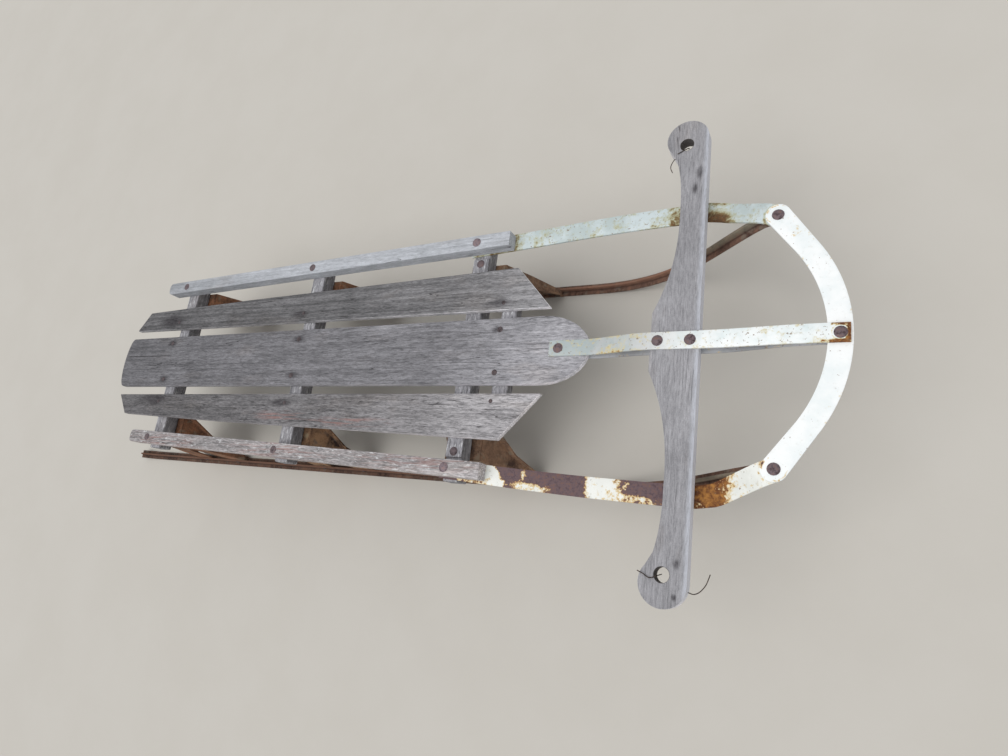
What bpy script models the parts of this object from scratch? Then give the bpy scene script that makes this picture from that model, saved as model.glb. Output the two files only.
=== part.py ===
"""Steerable wooden sled on steel runners.

X runs forward to the bow, Y to the rider's left and Z up. The ground is z = 0, and the
origin lies on it under the middle of the sled's length. All sizes are in metres.
"""
import math

import bmesh
import bpy
from mathutils import Matrix, Vector

# Benches, the cross bars that carry the deck and the rails
FRONT_BENCH_X = 0.202
BENCH_PITCH = 0.317
BENCH_TOP = 0.158
BENCH_THICK = 0.0245
BENCH_WIDTH = 0.026
BENCH_OVERHANG = 0.005
BENCH_EDGE = 0.002

# Cleat under the front of the deck
CLEAT_OFFSET = 0.058
CLEAT_WIDTH = 0.024
CLEAT_THICK = 0.017
CLEAT_HALF_LENGTH = 0.094

# Deck boards
BOARD_THICK = 0.0095
BOARD_EDGE = 0.0016
CENTRE_HALF_WIDTH = 0.0475
CENTRE_REAR_OVERHANG = 0.1295
CENTRE_REAR_CROWN = 0.014
NOSE_REACH = 0.1845
NOSE_STRAIGHT = 0.1165
SIDE_INNER_FRONT = 0.0600
SIDE_INNER_REAR = 0.0640
SIDE_OUTER_FRONT = 0.1230
SIDE_OUTER_MID = 0.1100
SIDE_OUTER_REAR = 0.1010
SIDE_FRONT_INNER_REACH = 0.1245
SIDE_FRONT_OUTER_REACH = 0.0685
SIDE_REAR_INNER_OVERHANG = 0.1285
SIDE_REAR_OUTER_OVERHANG = 0.1005

# Hand rails along both sides
RAIL_WIDTH = 0.022
RAIL_THICK = 0.019
RAIL_EDGE = 0.003
RAIL_Y_REAR = 0.145
RAIL_Y_FRONT = 0.1645
RAIL_FRONT_REACH = 0.0535
RAIL_REAR_REACH = 0.049
RAIL_END_RADIUS = 0.0075
RAIL_END_STEPS = 5

# Runners, a steel tee with its stem up
RUNNER_Y = 0.157
TEE_FLANGE_WIDTH = 0.016
TEE_FLANGE_THICK = 0.003
TEE_STEM_THICK = 0.003
TEE_HEIGHT = 0.012
RUNNER_TAIL_REACH = 0.2515
TAIL_CURL_LENGTH = 0.060
TAIL_CURL_RISE = 0.010
FLEX_OFFSET = 0.1045
FLEX_GAP = 0.0016
RISE_START_OFFSET = 0.1245
RISE_STEPS = 16
RISE_EASE_SHARE = 0.5
MEET_EASE_SHARE = 0.3
MEET_IN_SHARE = 0.3
MEET_SLOPE_SHARE = 0.285
MEET_Y_SHARE = 0.85
MEET_DROP = 0.0085
TONGUE_LENGTH = 0.018
TONGUE_SKIM = 0.0003
TRIM_DROP = 0.0016
TONGUE_EYE_RADIUS = 0.0105

# Knees, the pressed brackets between runner and bench
KNEE_SHEET = 0.0025
KNEE_TOP_Y = 0.146
KNEE_TOP_HALF = 0.028
KNEE_TOP_FLANGE = 0.052
KNEE_TOP_LIP = 0.013
KNEE_WAIST_Z = 0.078
KNEE_WAIST_HALF = 0.0465
KNEE_WAIST_FLANGE = 0.0205
KNEE_WAIST_LIP = 0.010
KNEE_WAIST_SHARE = 0.5
KNEE_FOOT_HALF = 0.066
KNEE_FOOT_FLANGE = 0.006
KNEE_FOOT_LIP = 0.003
KNEE_FOOT_Z = 0.0045
KNEE_ARCH_HALF = 0.032
KNEE_ARCH_TOP_HALF = 0.010
KNEE_ARCH_TOP_Z = 0.084
KNEE_TAB_LENGTH = 0.050

# Steering gear of flat steel
STRAP_THICK = 0.003
NOSE_PIVOT_OFFSET = 0.1435
BOW_PIVOT_OFFSET = 0.4695
CENTRE_STRAP_WIDTH = 0.0212
CENTRE_STRAP_END = 0.0125
CENTRE_STRAP_BEND_STEPS = 5
BAR_FRONT_OFFSET = 0.3245
BAR_RIVET_INSET = 0.0098
BAR_RIVET_PITCH = 0.038
SIDE_STRAP_WIDTH = 0.0254
SIDE_STRAP_TAIL = 0.017
SIDE_STRAP_BULGE_Y = 0.1772
SIDE_STRAP_BULGE_OFFSET = 0.3225
SIDE_STRAP_BEND_SHARE = 0.35
SIDE_STRAP_LEVEL_OFFSET = 0.2545
SIDE_STRAP_STEPS = 20
SIDE_STRAP_RISE_STEPS = 12
SIDE_STRAP_RISE_START = 0.018
SIDE_STRAP_EASE_SHARE = 0.2
SIDE_STRAP_FLAT_END = 0.008
BAR_CLEARANCE = 0.0058
BOW_WIDTH = 0.024
BOW_RADIUS = 0.180
BOW_ARC_DEG = 35.0
BOW_ARM_LENGTH = 0.052
BOW_UNDERSIDE = 0.187
BOW_END_RADIUS = 0.0135
BOW_STEPS = 24

# Steering bar of wood
BAR_THICK = 0.016
BAR_UNDERSIDE = 0.167
BAR_NECK_WIDTH = 0.0306
BAR_NECK_Y = 0.162
BAR_SWELL = 0.0262
BAR_SWELL_FLAT = 0.0365
BAR_SWELL_POWER_SHARE = 2.3
BAR_FLARE = 0.010
BAR_FLARE_DEG = 60.0
BAR_KNOB_JOIN_DEG = 42.5
BAR_KNOB_Y = 0.2732
BAR_KNOB_RADIUS = 0.0262
BAR_HOLE_Y = 0.2645
BAR_HOLE_INSET = 0.027
BAR_HOLE_RADIUS = 0.0086
BAR_EDGE = 0.002
KNOB_STEPS = 20

# Rivets and bolts that parts turn on
SHANK_RADIUS = 0.003
HEAD_RADIUS = 0.0068
HEAD_RISE = 0.0026
PIVOT_CLEARANCE = 0.0003
BOW_SLACK = 0.0011
TONGUE_SLACK = 0.0014
HEAD_RING_SHARE = 0.6
HEAD_DOME_SHARE = 0.7

# Gap kept between pieces that touch, how far a cutter runs past its work, and what counts as one point
SEAT_GAP = 0.0003
OVERRUN = 0.004
WELD = 0.000002

ROUND_STEPS = 16
ARC_STEPS = 10

# Places worked out from the sizes above
BENCH_UNDERSIDE = BENCH_TOP - BENCH_THICK
BENCH_X = {
    "rear": FRONT_BENCH_X - 2 * BENCH_PITCH,
    "mid": FRONT_BENCH_X - BENCH_PITCH,
    "front": FRONT_BENCH_X,
}
DECK_TOP = BENCH_TOP + SEAT_GAP + BOARD_THICK
NOSE_X = FRONT_BENCH_X + NOSE_PIVOT_OFFSET
BOW_X = FRONT_BENCH_X + BOW_PIVOT_OFFSET
BAR_FRONT_X = FRONT_BENCH_X + BAR_FRONT_OFFSET
BAR_TOP = BAR_UNDERSIDE + BAR_THICK
BOW_TOP = BOW_UNDERSIDE + STRAP_THICK
SIDE_STRAP_HIGH = BOW_UNDERSIDE - SEAT_GAP - STRAP_THICK
BOW_ARC = math.radians(BOW_ARC_DEG)
JOINT_X = BOW_X - BOW_RADIUS * (1 - math.cos(BOW_ARC)) - BOW_ARM_LENGTH * math.sin(BOW_ARC)
JOINT_Y = BOW_RADIUS * math.sin(BOW_ARC) + BOW_ARM_LENGTH * math.cos(BOW_ARC)
FLEX_X = FRONT_BENCH_X + FLEX_OFFSET
TONGUE_TOP = SIDE_STRAP_HIGH - SEAT_GAP
RISE_X = BAR_FRONT_X + SIDE_STRAP_RISE_START
FLAT_X = JOINT_X - SIDE_STRAP_FLAT_END
SIDES = {"left": 1.0, "right": -1.0}

# Colour, roughness and metallic value of each material
MATERIALS = {
    "weathered_wood": ((0.30, 0.28, 0.27, 1.0), 0.85, 0.0),
    "bar_wood": ((0.36, 0.35, 0.35, 1.0), 0.75, 0.0),
    "white_paint": ((0.72, 0.74, 0.74, 1.0), 0.5, 0.0),
    "rusty_steel": ((0.20, 0.10, 0.06, 1.0), 0.8, 0.5),
    "rivet_steel": ((0.10, 0.06, 0.06, 1.0), 0.7, 0.6),
}


def clear_scene():
    for item in list(bpy.data.objects):
        bpy.data.objects.remove(item, do_unlink=True)


def make_collection(name):
    group = bpy.data.collections.new(name)
    bpy.context.scene.collection.children.link(group)
    return group


def make_materials():
    made = {}
    for name, (colour, roughness, metallic) in MATERIALS.items():
        material = bpy.data.materials.new(name)
        material.use_nodes = True
        shader = material.node_tree.nodes["Principled BSDF"]
        shader.inputs["Base Color"].default_value = colour
        shader.inputs["Roughness"].default_value = roughness
        shader.inputs["Metallic"].default_value = metallic
        made[name] = material
    return made


clear_scene()
PARTS = make_collection("runner_sled")
GUIDES = make_collection("guides")
MADE = make_materials()


def keep_as_guide(item):
    """Cutters and profiles stay in the file but are no part of the sled."""
    item.hide_render = True
    item.display_type = "WIRE"
    return item


def add_object(name, data, material=None, guide=False):
    item = bpy.data.objects.new(name, data)
    (GUIDES if guide else PARTS).objects.link(item)
    if material:
        data.materials.append(MADE[material])
    if guide:
        keep_as_guide(item)
    return item


def as_mesh(item, name, material=None, guide=False):
    """Turn a curve or a modified object into a plain welded mesh object."""
    bpy.context.view_layer.update()
    evaluated = item.evaluated_get(bpy.context.evaluated_depsgraph_get())
    mesh = bpy.data.meshes.new_from_object(evaluated)
    form = bmesh.new()
    form.from_mesh(mesh)
    bmesh.ops.remove_doubles(form, verts=form.verts, dist=WELD)
    bmesh.ops.recalc_face_normals(form, faces=form.faces)
    form.to_mesh(mesh)
    form.free()
    mesh.materials.clear()
    mesh.name = name
    matrix = item.matrix_world.copy()
    bpy.data.objects.remove(item, do_unlink=True)
    made = add_object(name, mesh, material, guide)
    made.matrix_world = matrix
    return made


def circle_points(centre, radius, steps=ROUND_STEPS, start=0.0, sweep=2 * math.pi, closed=True):
    """Points round an arc, without the last one where the arc closes on itself."""
    count = steps if closed else steps + 1
    return [
        (
            centre[0] + radius * math.cos(start + sweep * i / steps),
            centre[1] + radius * math.sin(start + sweep * i / steps),
        )
        for i in range(count)
    ]


def flat_piece(name, outline, low, high, material=None, holes=(), edge=0.0, guide=False):
    """A flat outline in X and Y between two heights, its edges rounded, then its holes cut.

    A hole is given as (x, y, radius).
    """
    curve = bpy.data.curves.new(name + "_outline", "CURVE")
    curve.dimensions = "2D"
    curve.fill_mode = "BOTH"
    curve.extrude = (high - low) / 2
    spline = curve.splines.new("POLY")
    spline.points.add(len(outline) - 1)
    for point, (x, y) in zip(spline.points, outline):
        point.co = (x, y, 0.0, 1.0)
    spline.use_cyclic_u = True
    flat = add_object(name + "_flat", curve, guide=guide)
    flat.location.z = (low + high) / 2
    item = as_mesh(flat, name, material, guide)
    if edge:
        round_edges(item, edge)
    for number, (x, y, radius) in enumerate(holes):
        cut(item, post(f"{name}_hole_{number}", x, y, low - OVERRUN, high + OVERRUN, radius))
    return item


def profile_guide(name, points):
    """A closed cross section for a swept bar: X across the bar and Y up."""
    curve = bpy.data.curves.new(name, "CURVE")
    curve.dimensions = "2D"
    curve.fill_mode = "NONE"
    spline = curve.splines.new("POLY")
    spline.points.add(len(points) - 1)
    for point, (x, y) in zip(spline.points, points):
        point.co = (x, y, 0.0, 1.0)
    spline.use_cyclic_u = True
    return add_object(name, curve, guide=True)


def rectangle_profile(name, width, low, high):
    half = width / 2
    return profile_guide(name, [(-half, low), (half, low), (half, high), (-half, high)])


def swept_bar(name, path, profile, material=None, guide=False):
    """A bar of constant section along a path, kept level across."""
    curve = bpy.data.curves.new(name + "_path", "CURVE")
    curve.dimensions = "3D"
    curve.twist_mode = "Z_UP"
    curve.bevel_mode = "OBJECT"
    curve.bevel_object = profile
    curve.use_fill_caps = True
    spline = curve.splines.new("POLY")
    spline.points.add(len(path) - 1)
    for point, place in zip(spline.points, path):
        point.co = (*place, 1.0)
    item = add_object(name + "_swept", curve, guide=guide)
    return as_mesh(item, name, material, guide)


def cut(item, cutter, operation="DIFFERENCE"):
    modifier = item.modifiers.new(operation.title() + "_" + cutter.name, "BOOLEAN")
    modifier.operation = operation
    modifier.solver = "EXACT"
    modifier.object = cutter
    return item


def post(name, x, y, low, high, radius, steps=ROUND_STEPS):
    """An upright round cutter."""
    form = bmesh.new()
    bmesh.ops.create_cone(
        form, cap_ends=True, segments=steps, radius1=radius, radius2=radius, depth=high - low,
        matrix=Matrix.Translation((x, y, (low + high) / 2)),
    )
    mesh = bpy.data.meshes.new(name)
    form.to_mesh(mesh)
    form.free()
    return add_object(name, mesh, guide=True)


def box(name, low, high, material=None, guide=False):
    low, high = Vector(low), Vector(high)
    form = bmesh.new()
    bmesh.ops.create_cube(form, size=1.0)
    bmesh.ops.scale(form, vec=high - low, verts=form.verts)
    bmesh.ops.translate(form, vec=(low + high) / 2, verts=form.verts)
    mesh = bpy.data.meshes.new(name)
    form.to_mesh(mesh)
    form.free()
    return add_object(name, mesh, material, guide)


def round_edges(item, width, segments=2):
    modifier = item.modifiers.new("Edges", "BEVEL")
    modifier.width = width
    modifier.segments = segments
    modifier.limit_method = "ANGLE"
    return item


def rivet(name, x, y, low, high, material="rivet_steel"):
    """A shank through everything from low to high, with a domed head on both ends."""
    ring = HEAD_RADIUS * HEAD_RING_SHARE
    shoulder = HEAD_RISE * HEAD_DOME_SHARE
    profile = [
        (0.0, high + HEAD_RISE),
        (ring, high + shoulder),
        (HEAD_RADIUS, high + SEAT_GAP),
        (SHANK_RADIUS, high + SEAT_GAP),
        (SHANK_RADIUS, low - SEAT_GAP),
        (HEAD_RADIUS, low - SEAT_GAP),
        (ring, low - shoulder),
        (0.0, low - HEAD_RISE),
    ]
    mesh = bpy.data.meshes.new(name)
    mesh.from_pydata([(r, 0.0, z) for r, z in profile], [(i, i + 1) for i in range(len(profile) - 1)], [])
    item = add_object(name, mesh, material)
    item.location = (x, y, 0.0)
    screw = item.modifiers.new("Turn", "SCREW")
    screw.steps = ROUND_STEPS
    screw.render_steps = ROUND_STEPS
    screw.use_merge_vertices = True
    screw.merge_threshold = WELD
    return item


def smooth(t):
    t = min(max(t, 0.0), 1.0)
    return t * t * (3 - 2 * t)


def ramp(t, ease):
    """A straight rise from 0 to 1, rounded over the share ease at both ends."""
    t = min(max(t, 0.0), 1.0)
    slope = 1 / (1 - ease)
    if t < ease:
        return slope * t * t / (2 * ease)
    if t > 1 - ease:
        return 1 - slope * (1 - t) * (1 - t) / (2 * ease)
    return slope * (t - ease / 2)


def bend(t, ease):
    """A rise from 0 to 1 that starts level and is straight past the share ease."""
    slope = 1 / (1 - ease / 2)
    return slope * t * t / (2 * ease) if t < ease else slope * (t - ease / 2)


def mix(a, b, t):
    return a + (b - a) * t


def rail_y(x):
    """Half distance between the rails' centre lines at x."""
    return mix(RAIL_Y_REAR, RAIL_Y_FRONT, (x - BENCH_X["rear"]) / (BENCH_X["front"] - BENCH_X["rear"]))


def build_benches():
    """Three cross bars. The front one is rebated at its ends for the side straps."""
    for place, x in BENCH_X.items():
        end = rail_y(x) + RAIL_WIDTH / 2 + BENCH_OVERHANG
        bench = box(
            place + "_bench", (x - BENCH_WIDTH / 2, -end, BENCH_UNDERSIDE),
            (x + BENCH_WIDTH / 2, end, BENCH_TOP), "weathered_wood",
        )
        if place == "front":
            inner = rail_y(x) - SIDE_STRAP_WIDTH / 2 - OVERRUN
            for side, sign in SIDES.items():
                ends = sorted((sign * inner, sign * (end + OVERRUN)))
                notch = box(
                    "notch_" + side, (x - BENCH_WIDTH, ends[0], BENCH_TOP - STRAP_THICK - SEAT_GAP),
                    (x + BENCH_WIDTH, ends[1], BENCH_TOP + OVERRUN), guide=True,
                )
                cut(bench, notch)
                shank = post(
                    "bench_bolt_" + side, x, sign * RAIL_Y_FRONT, BENCH_UNDERSIDE - OVERRUN,
                    BENCH_TOP + OVERRUN, SHANK_RADIUS + PIVOT_CLEARANCE,
                )
                cut(bench, shank)
        round_edges(bench, BENCH_EDGE)


def build_cleat():
    x = FRONT_BENCH_X + CLEAT_OFFSET
    cleat = box(
        "front_cleat", (x - CLEAT_WIDTH / 2, -CLEAT_HALF_LENGTH, BENCH_TOP - CLEAT_THICK),
        (x + CLEAT_WIDTH / 2, CLEAT_HALF_LENGTH, BENCH_TOP), "weathered_wood",
    )
    round_edges(cleat, BENCH_EDGE)


def build_centre_board():
    """The long board: parallel sides, a crowned rear end and a rounded nose."""
    rear = BENCH_X["rear"] - CENTRE_REAR_OVERHANG
    shoulder = FRONT_BENCH_X + NOSE_STRAIGHT
    reach = NOSE_REACH - NOSE_STRAIGHT
    nose = [
        (shoulder + reach * math.sin(a), CENTRE_HALF_WIDTH * math.cos(a))
        for a in [math.pi * i / ROUND_STEPS for i in range(ROUND_STEPS + 1)]
    ]
    tail = [
        (rear - CENTRE_REAR_CROWN * math.sin(math.pi * i / ARC_STEPS),
         -CENTRE_HALF_WIDTH * math.cos(math.pi * i / ARC_STEPS))
        for i in range(ARC_STEPS + 1)
    ]
    hole = (NOSE_X, 0.0, SHANK_RADIUS + PIVOT_CLEARANCE)
    flat_piece(
        "centre_board", nose + tail, BENCH_TOP + SEAT_GAP, DECK_TOP, "weathered_wood",
        [hole], BOARD_EDGE,
    )


def build_side_boards():
    """The outer boards narrow to the rear, and their ends are cut at a slant."""
    outline = [
        (BENCH_X["rear"] - SIDE_REAR_INNER_OVERHANG, SIDE_INNER_REAR),
        (FRONT_BENCH_X + SIDE_FRONT_INNER_REACH, SIDE_INNER_FRONT),
        (FRONT_BENCH_X + SIDE_FRONT_OUTER_REACH, SIDE_OUTER_FRONT),
        (BENCH_X["rear"] + BENCH_PITCH / 2, SIDE_OUTER_MID),
        (BENCH_X["rear"] - SIDE_REAR_OUTER_OVERHANG, SIDE_OUTER_REAR),
    ]
    for side, sign in SIDES.items():
        points = [(x, sign * y) for x, y in outline]
        flat_piece(
            side + "_board", points, BENCH_TOP + SEAT_GAP, DECK_TOP, "weathered_wood",
            edge=BOARD_EDGE,
        )


def build_rails():
    rear_x = BENCH_X["rear"] - RAIL_REAR_REACH
    front_x = BENCH_X["front"] + RAIL_FRONT_REACH
    half = RAIL_WIDTH / 2
    low = BENCH_TOP + SEAT_GAP
    corner_x = rear_x + RAIL_END_RADIUS
    inset = half - RAIL_END_RADIUS
    outline = [(front_x, rail_y(front_x) - half), (front_x, rail_y(front_x) + half)]
    for offset, start in ((inset, math.pi / 2), (-inset, math.pi)):
        outline += circle_points(
            (corner_x, rail_y(corner_x) + offset), RAIL_END_RADIUS, RAIL_END_STEPS, start,
            math.pi / 2, False,
        )
    for side, sign in SIDES.items():
        points = [(x, sign * y) for x, y in outline]
        hole = (BENCH_X["front"], sign * RAIL_Y_FRONT, SHANK_RADIUS + PIVOT_CLEARANCE)
        flat_piece(side + "_rail", points, low, low + RAIL_THICK, "weathered_wood", [hole], RAIL_EDGE)


def runner_profile():
    """Tee section. The path runs along the middle of its sole."""
    sole, stem = TEE_FLANGE_WIDTH / 2, TEE_STEM_THICK / 2
    return profile_guide("tee_section", [
        (-sole, 0.0), (sole, 0.0), (sole, TEE_FLANGE_THICK), (stem, TEE_FLANGE_THICK),
        (stem, TEE_HEIGHT), (-stem, TEE_HEIGHT), (-stem, TEE_FLANGE_THICK), (-sole, TEE_FLANGE_THICK),
    ])


def rear_runner_path(sign):
    tail = BENCH_X["rear"] - RUNNER_TAIL_REACH
    path = [
        (tail + TAIL_CURL_LENGTH * t, sign * RUNNER_Y, TAIL_CURL_RISE * (1 - t) ** 2)
        for t in [i / ARC_STEPS for i in range(ARC_STEPS + 1)]
    ]
    return path + [(FLEX_X - FLEX_GAP / 2, sign * RUNNER_Y, 0.0)]


def front_runner_path(sign):
    """Level from the flexing place, then a curve that rises to lie under the side strap.

    It touches the strap only at the rivet, where both are level.
    """
    start = Vector((FRONT_BENCH_X + RISE_START_OFFSET, RUNNER_Y, 0.0))
    drop = SEAT_GAP + TEE_FLANGE_THICK - TONGUE_SKIM
    meet_x = JOINT_X - TONGUE_LENGTH
    meet_y = mix(RUNNER_Y, JOINT_Y, MEET_Y_SHARE)
    end = Vector((meet_x, meet_y, SIDE_STRAP_HIGH - drop - MEET_DROP))
    run = end.x - start.x
    first = start + Vector((run * RISE_EASE_SHARE, 0.0, 0.0))
    second = end - Vector((
        run * MEET_EASE_SHARE, (JOINT_Y - RUNNER_Y) * MEET_IN_SHARE, run * MEET_SLOPE_SHARE,
    ))
    path = [(FLEX_X + FLEX_GAP / 2, sign * RUNNER_Y, 0.0)]
    for i in range(RISE_STEPS + 1):
        t = i / RISE_STEPS
        weights = ((1 - t) ** 3, 3 * t * (1 - t) ** 2, 3 * t * t * (1 - t), t ** 3)
        place = sum((w * p for w, p in zip(weights, (start, first, second, end))), Vector())
        path.append((place.x, sign * place.y, place.z))
    flat_y = mix(meet_y, JOINT_Y, (FLAT_X - meet_x) / TONGUE_LENGTH)
    path.append((FLAT_X, sign * flat_y, SIDE_STRAP_HIGH - drop))
    path.append((JOINT_X, sign * JOINT_Y, SIDE_STRAP_HIGH - drop))
    return path


def build_runners():
    """The stem is cut away where the front part lies flat under the side strap."""
    section = runner_profile()
    clearance = rectangle_profile(
        "strap_clearance_section", SIDE_STRAP_WIDTH * 2, -SEAT_GAP, TEE_HEIGHT * 2,
    )
    for side, sign in SIDES.items():
        swept_bar(side + "_runner", rear_runner_path(sign), section, "rusty_steel")
        front = swept_bar(side + "_runner_front", front_runner_path(sign), section, "rusty_steel")
        eye = post(
            "eye_" + side, JOINT_X, sign * JOINT_Y, TONGUE_TOP - TEE_FLANGE_THICK,
            TONGUE_TOP + OVERRUN, TONGUE_EYE_RADIUS,
        )
        lowered = [
            (x, y, z - TRIM_DROP if x < FLAT_X else z) for x, y, z in side_strap_path(sign)
        ]
        past_eye = (JOINT_X + TONGUE_EYE_RADIUS + OVERRUN, sign * JOINT_Y, SIDE_STRAP_HIGH)
        trim = swept_bar("trim_" + side, lowered + [past_eye], clearance, guide=True)
        hole = post(
            "eye_hole_" + side, JOINT_X, sign * JOINT_Y, TONGUE_TOP - TEE_FLANGE_THICK - OVERRUN,
            TONGUE_TOP + OVERRUN, SHANK_RADIUS + TONGUE_SLACK,
        )
        cut(front, eye, "UNION")
        cut(front, trim)
        cut(front, hole)


def knee_sections():
    """Height, Y of the web, its half width, depth of the flanges and width of their lips."""
    foot_y = RUNNER_Y - TEE_STEM_THICK / 2 - SEAT_GAP - KNEE_SHEET / 2
    waist_y = mix(foot_y, KNEE_TOP_Y, KNEE_WAIST_SHARE)
    top_z = BENCH_UNDERSIDE - SEAT_GAP - KNEE_SHEET / 2
    return [
        (KNEE_FOOT_Z, foot_y, KNEE_FOOT_HALF, KNEE_FOOT_FLANGE, KNEE_FOOT_LIP),
        (TEE_HEIGHT, foot_y, KNEE_FOOT_HALF, KNEE_FOOT_FLANGE, KNEE_FOOT_LIP),
        (KNEE_WAIST_Z, waist_y, KNEE_WAIST_HALF, KNEE_WAIST_FLANGE, KNEE_WAIST_LIP),
        (top_z, KNEE_TOP_Y, KNEE_TOP_HALF, KNEE_TOP_FLANGE, KNEE_TOP_LIP),
    ]


def build_knee(name, centre_x, sign):
    """A pressed bracket: a splayed web with an arch, and a lipped flange turned in on each side."""
    form = bmesh.new()
    rows = []
    for z, y, half, flange, lip in knee_sections():
        bends = [(half, y), (half, y - flange), (half + lip, y - flange)]
        bends = [(-px, py) for px, py in reversed(bends)] + bends
        rows.append([form.verts.new((centre_x + px, sign * py, z)) for px, py in bends])
    for lower, upper in zip(rows, rows[1:]):
        for i in range(len(lower) - 1):
            form.faces.new((lower[i], lower[i + 1], upper[i + 1], upper[i]))
    mesh = bpy.data.meshes.new(name)
    form.to_mesh(mesh)
    form.free()
    shell = add_object(name + "_sheet", mesh)
    solid = shell.modifiers.new("Sheet", "SOLIDIFY")
    solid.thickness = KNEE_SHEET
    solid.offset = 0.0
    solid.use_even_offset = True
    knee = as_mesh(shell, name, "rusty_steel")
    arch = [
        (centre_x - KNEE_ARCH_HALF, -OVERRUN), (centre_x + KNEE_ARCH_HALF, -OVERRUN),
        (centre_x + KNEE_ARCH_TOP_HALF, KNEE_ARCH_TOP_Z - KNEE_ARCH_TOP_HALF),
    ]
    arch += circle_points(
        (centre_x, KNEE_ARCH_TOP_Z - KNEE_ARCH_TOP_HALF), KNEE_ARCH_TOP_HALF, ARC_STEPS, 0.0,
        math.pi, False,
    )[1:]
    cutter = flat_piece(name + "_arch", arch, -KNEE_TOP_FLANGE, KNEE_TOP_FLANGE, guide=True)
    cutter.matrix_world = (
        Matrix.Translation((0.0, sign * KNEE_TOP_Y, 0.0)) @ Matrix.Rotation(math.pi / 2, 4, "X")
        @ cutter.matrix_world
    )
    tab = box(
        name + "_tab",
        (centre_x - KNEE_TOP_HALF, min(sign * KNEE_TOP_Y, sign * (KNEE_TOP_Y - KNEE_TAB_LENGTH)),
         BENCH_UNDERSIDE - SEAT_GAP - KNEE_SHEET),
        (centre_x + KNEE_TOP_HALF, max(sign * KNEE_TOP_Y, sign * (KNEE_TOP_Y - KNEE_TAB_LENGTH)),
         BENCH_UNDERSIDE - SEAT_GAP),
        guide=True,
    )
    cut(knee, cutter)
    cut(knee, tab, "UNION")


def build_knees():
    for side, sign in SIDES.items():
        for place, x in BENCH_X.items():
            build_knee(f"{side}_{place}_knee", x, sign)


def side_strap_z(x):
    """Underside of a side strap: level on the bench, under the bar and at the joint."""
    start_x = FRONT_BENCH_X + RAIL_FRONT_REACH
    level_x = FRONT_BENCH_X + SIDE_STRAP_LEVEL_OFFSET
    under_bar = BAR_UNDERSIDE - BAR_CLEARANCE - STRAP_THICK
    if x < RISE_X:
        return mix(BENCH_TOP - STRAP_THICK, under_bar, smooth((x - start_x) / (level_x - start_x)))
    rise = ramp((x - RISE_X) / (FLAT_X - RISE_X), SIDE_STRAP_EASE_SHARE)
    return mix(under_bar, SIDE_STRAP_HIGH, rise)


def side_strap_y(x):
    """Half distance between the side straps' centre lines at x."""
    start_x = FRONT_BENCH_X - SIDE_STRAP_TAIL
    bulge_x = FRONT_BENCH_X + SIDE_STRAP_BULGE_OFFSET
    if x < bulge_x:
        swing = math.sin(math.pi / 2 * (x - start_x) / (bulge_x - start_x))
        return mix(rail_y(start_x), SIDE_STRAP_BULGE_Y, swing)
    return mix(SIDE_STRAP_BULGE_Y, JOINT_Y, bend((x - bulge_x) / (JOINT_X - bulge_x), SIDE_STRAP_BEND_SHARE))


def side_strap_path(sign):
    """From the rail's front bolt, out past the steering bar and in to the bow's joint."""
    start_x = FRONT_BENCH_X - SIDE_STRAP_TAIL
    stations = [mix(start_x, RISE_X, i / SIDE_STRAP_STEPS) for i in range(SIDE_STRAP_STEPS)]
    stations += [mix(RISE_X, FLAT_X, i / SIDE_STRAP_RISE_STEPS) for i in range(SIDE_STRAP_RISE_STEPS + 1)]
    path = [(x, sign * side_strap_y(x), side_strap_z(x)) for x in stations]
    path.append((JOINT_X, sign * JOINT_Y, SIDE_STRAP_HIGH))
    return path


def build_side_straps():
    section = rectangle_profile("side_strap_section", SIDE_STRAP_WIDTH, 0.0, STRAP_THICK)
    for side, sign in SIDES.items():
        strap = swept_bar(side + "_side_strap", side_strap_path(sign), section, "white_paint")
        eye = post(
            "strap_eye_" + side, JOINT_X, sign * JOINT_Y, SIDE_STRAP_HIGH,
            SIDE_STRAP_HIGH + STRAP_THICK, SIDE_STRAP_WIDTH / 2,
        )
        cut(strap, eye, "UNION")
        for place, x, y in (("joint", JOINT_X, JOINT_Y), ("rail", FRONT_BENCH_X, RAIL_Y_FRONT)):
            hole = post(
                f"strap_{place}_{side}", x, sign * y, BENCH_UNDERSIDE, BOW_TOP + OVERRUN,
                SHANK_RADIUS + PIVOT_CLEARANCE,
            )
            cut(strap, hole)


def build_bow():
    """A flat bow: an arc in the middle, straight arms and round ends at the joints."""
    centre = BOW_X - BOW_RADIUS
    half = BOW_WIDTH / 2
    outer = circle_points((centre, 0.0), BOW_RADIUS + half, BOW_STEPS, -BOW_ARC, 2 * BOW_ARC, False)
    inner = circle_points((centre, 0.0), BOW_RADIUS - half, BOW_STEPS, BOW_ARC, -2 * BOW_ARC, False)
    left_end = circle_points(
        (JOINT_X, JOINT_Y), BOW_END_RADIUS, ARC_STEPS, BOW_ARC, math.pi, False,
    )
    right_end = circle_points(
        (JOINT_X, -JOINT_Y), BOW_END_RADIUS, ARC_STEPS, math.pi - BOW_ARC, math.pi, False,
    )
    holes = [(JOINT_X, sign * JOINT_Y, SHANK_RADIUS + BOW_SLACK) for sign in SIDES.values()]
    holes.append((BOW_X, 0.0, SHANK_RADIUS + PIVOT_CLEARANCE))
    flat_piece("bow", outer + left_end + inner + right_end, BOW_UNDERSIDE, BOW_TOP, "white_paint", holes)


def strap_run(stations, steps=CENTRE_STRAP_BEND_STEPS):
    """Points of a strap that bends gently between level stations of X and Z."""
    path = []
    for (x0, z0), (x1, z1) in zip(stations, stations[1:]):
        count = steps if z0 != z1 else 1
        path += [(mix(x0, x1, i / count), 0.0, mix(z0, z1, smooth(i / count))) for i in range(count)]
    return path + [(stations[-1][0], 0.0, stations[-1][1])]


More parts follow.
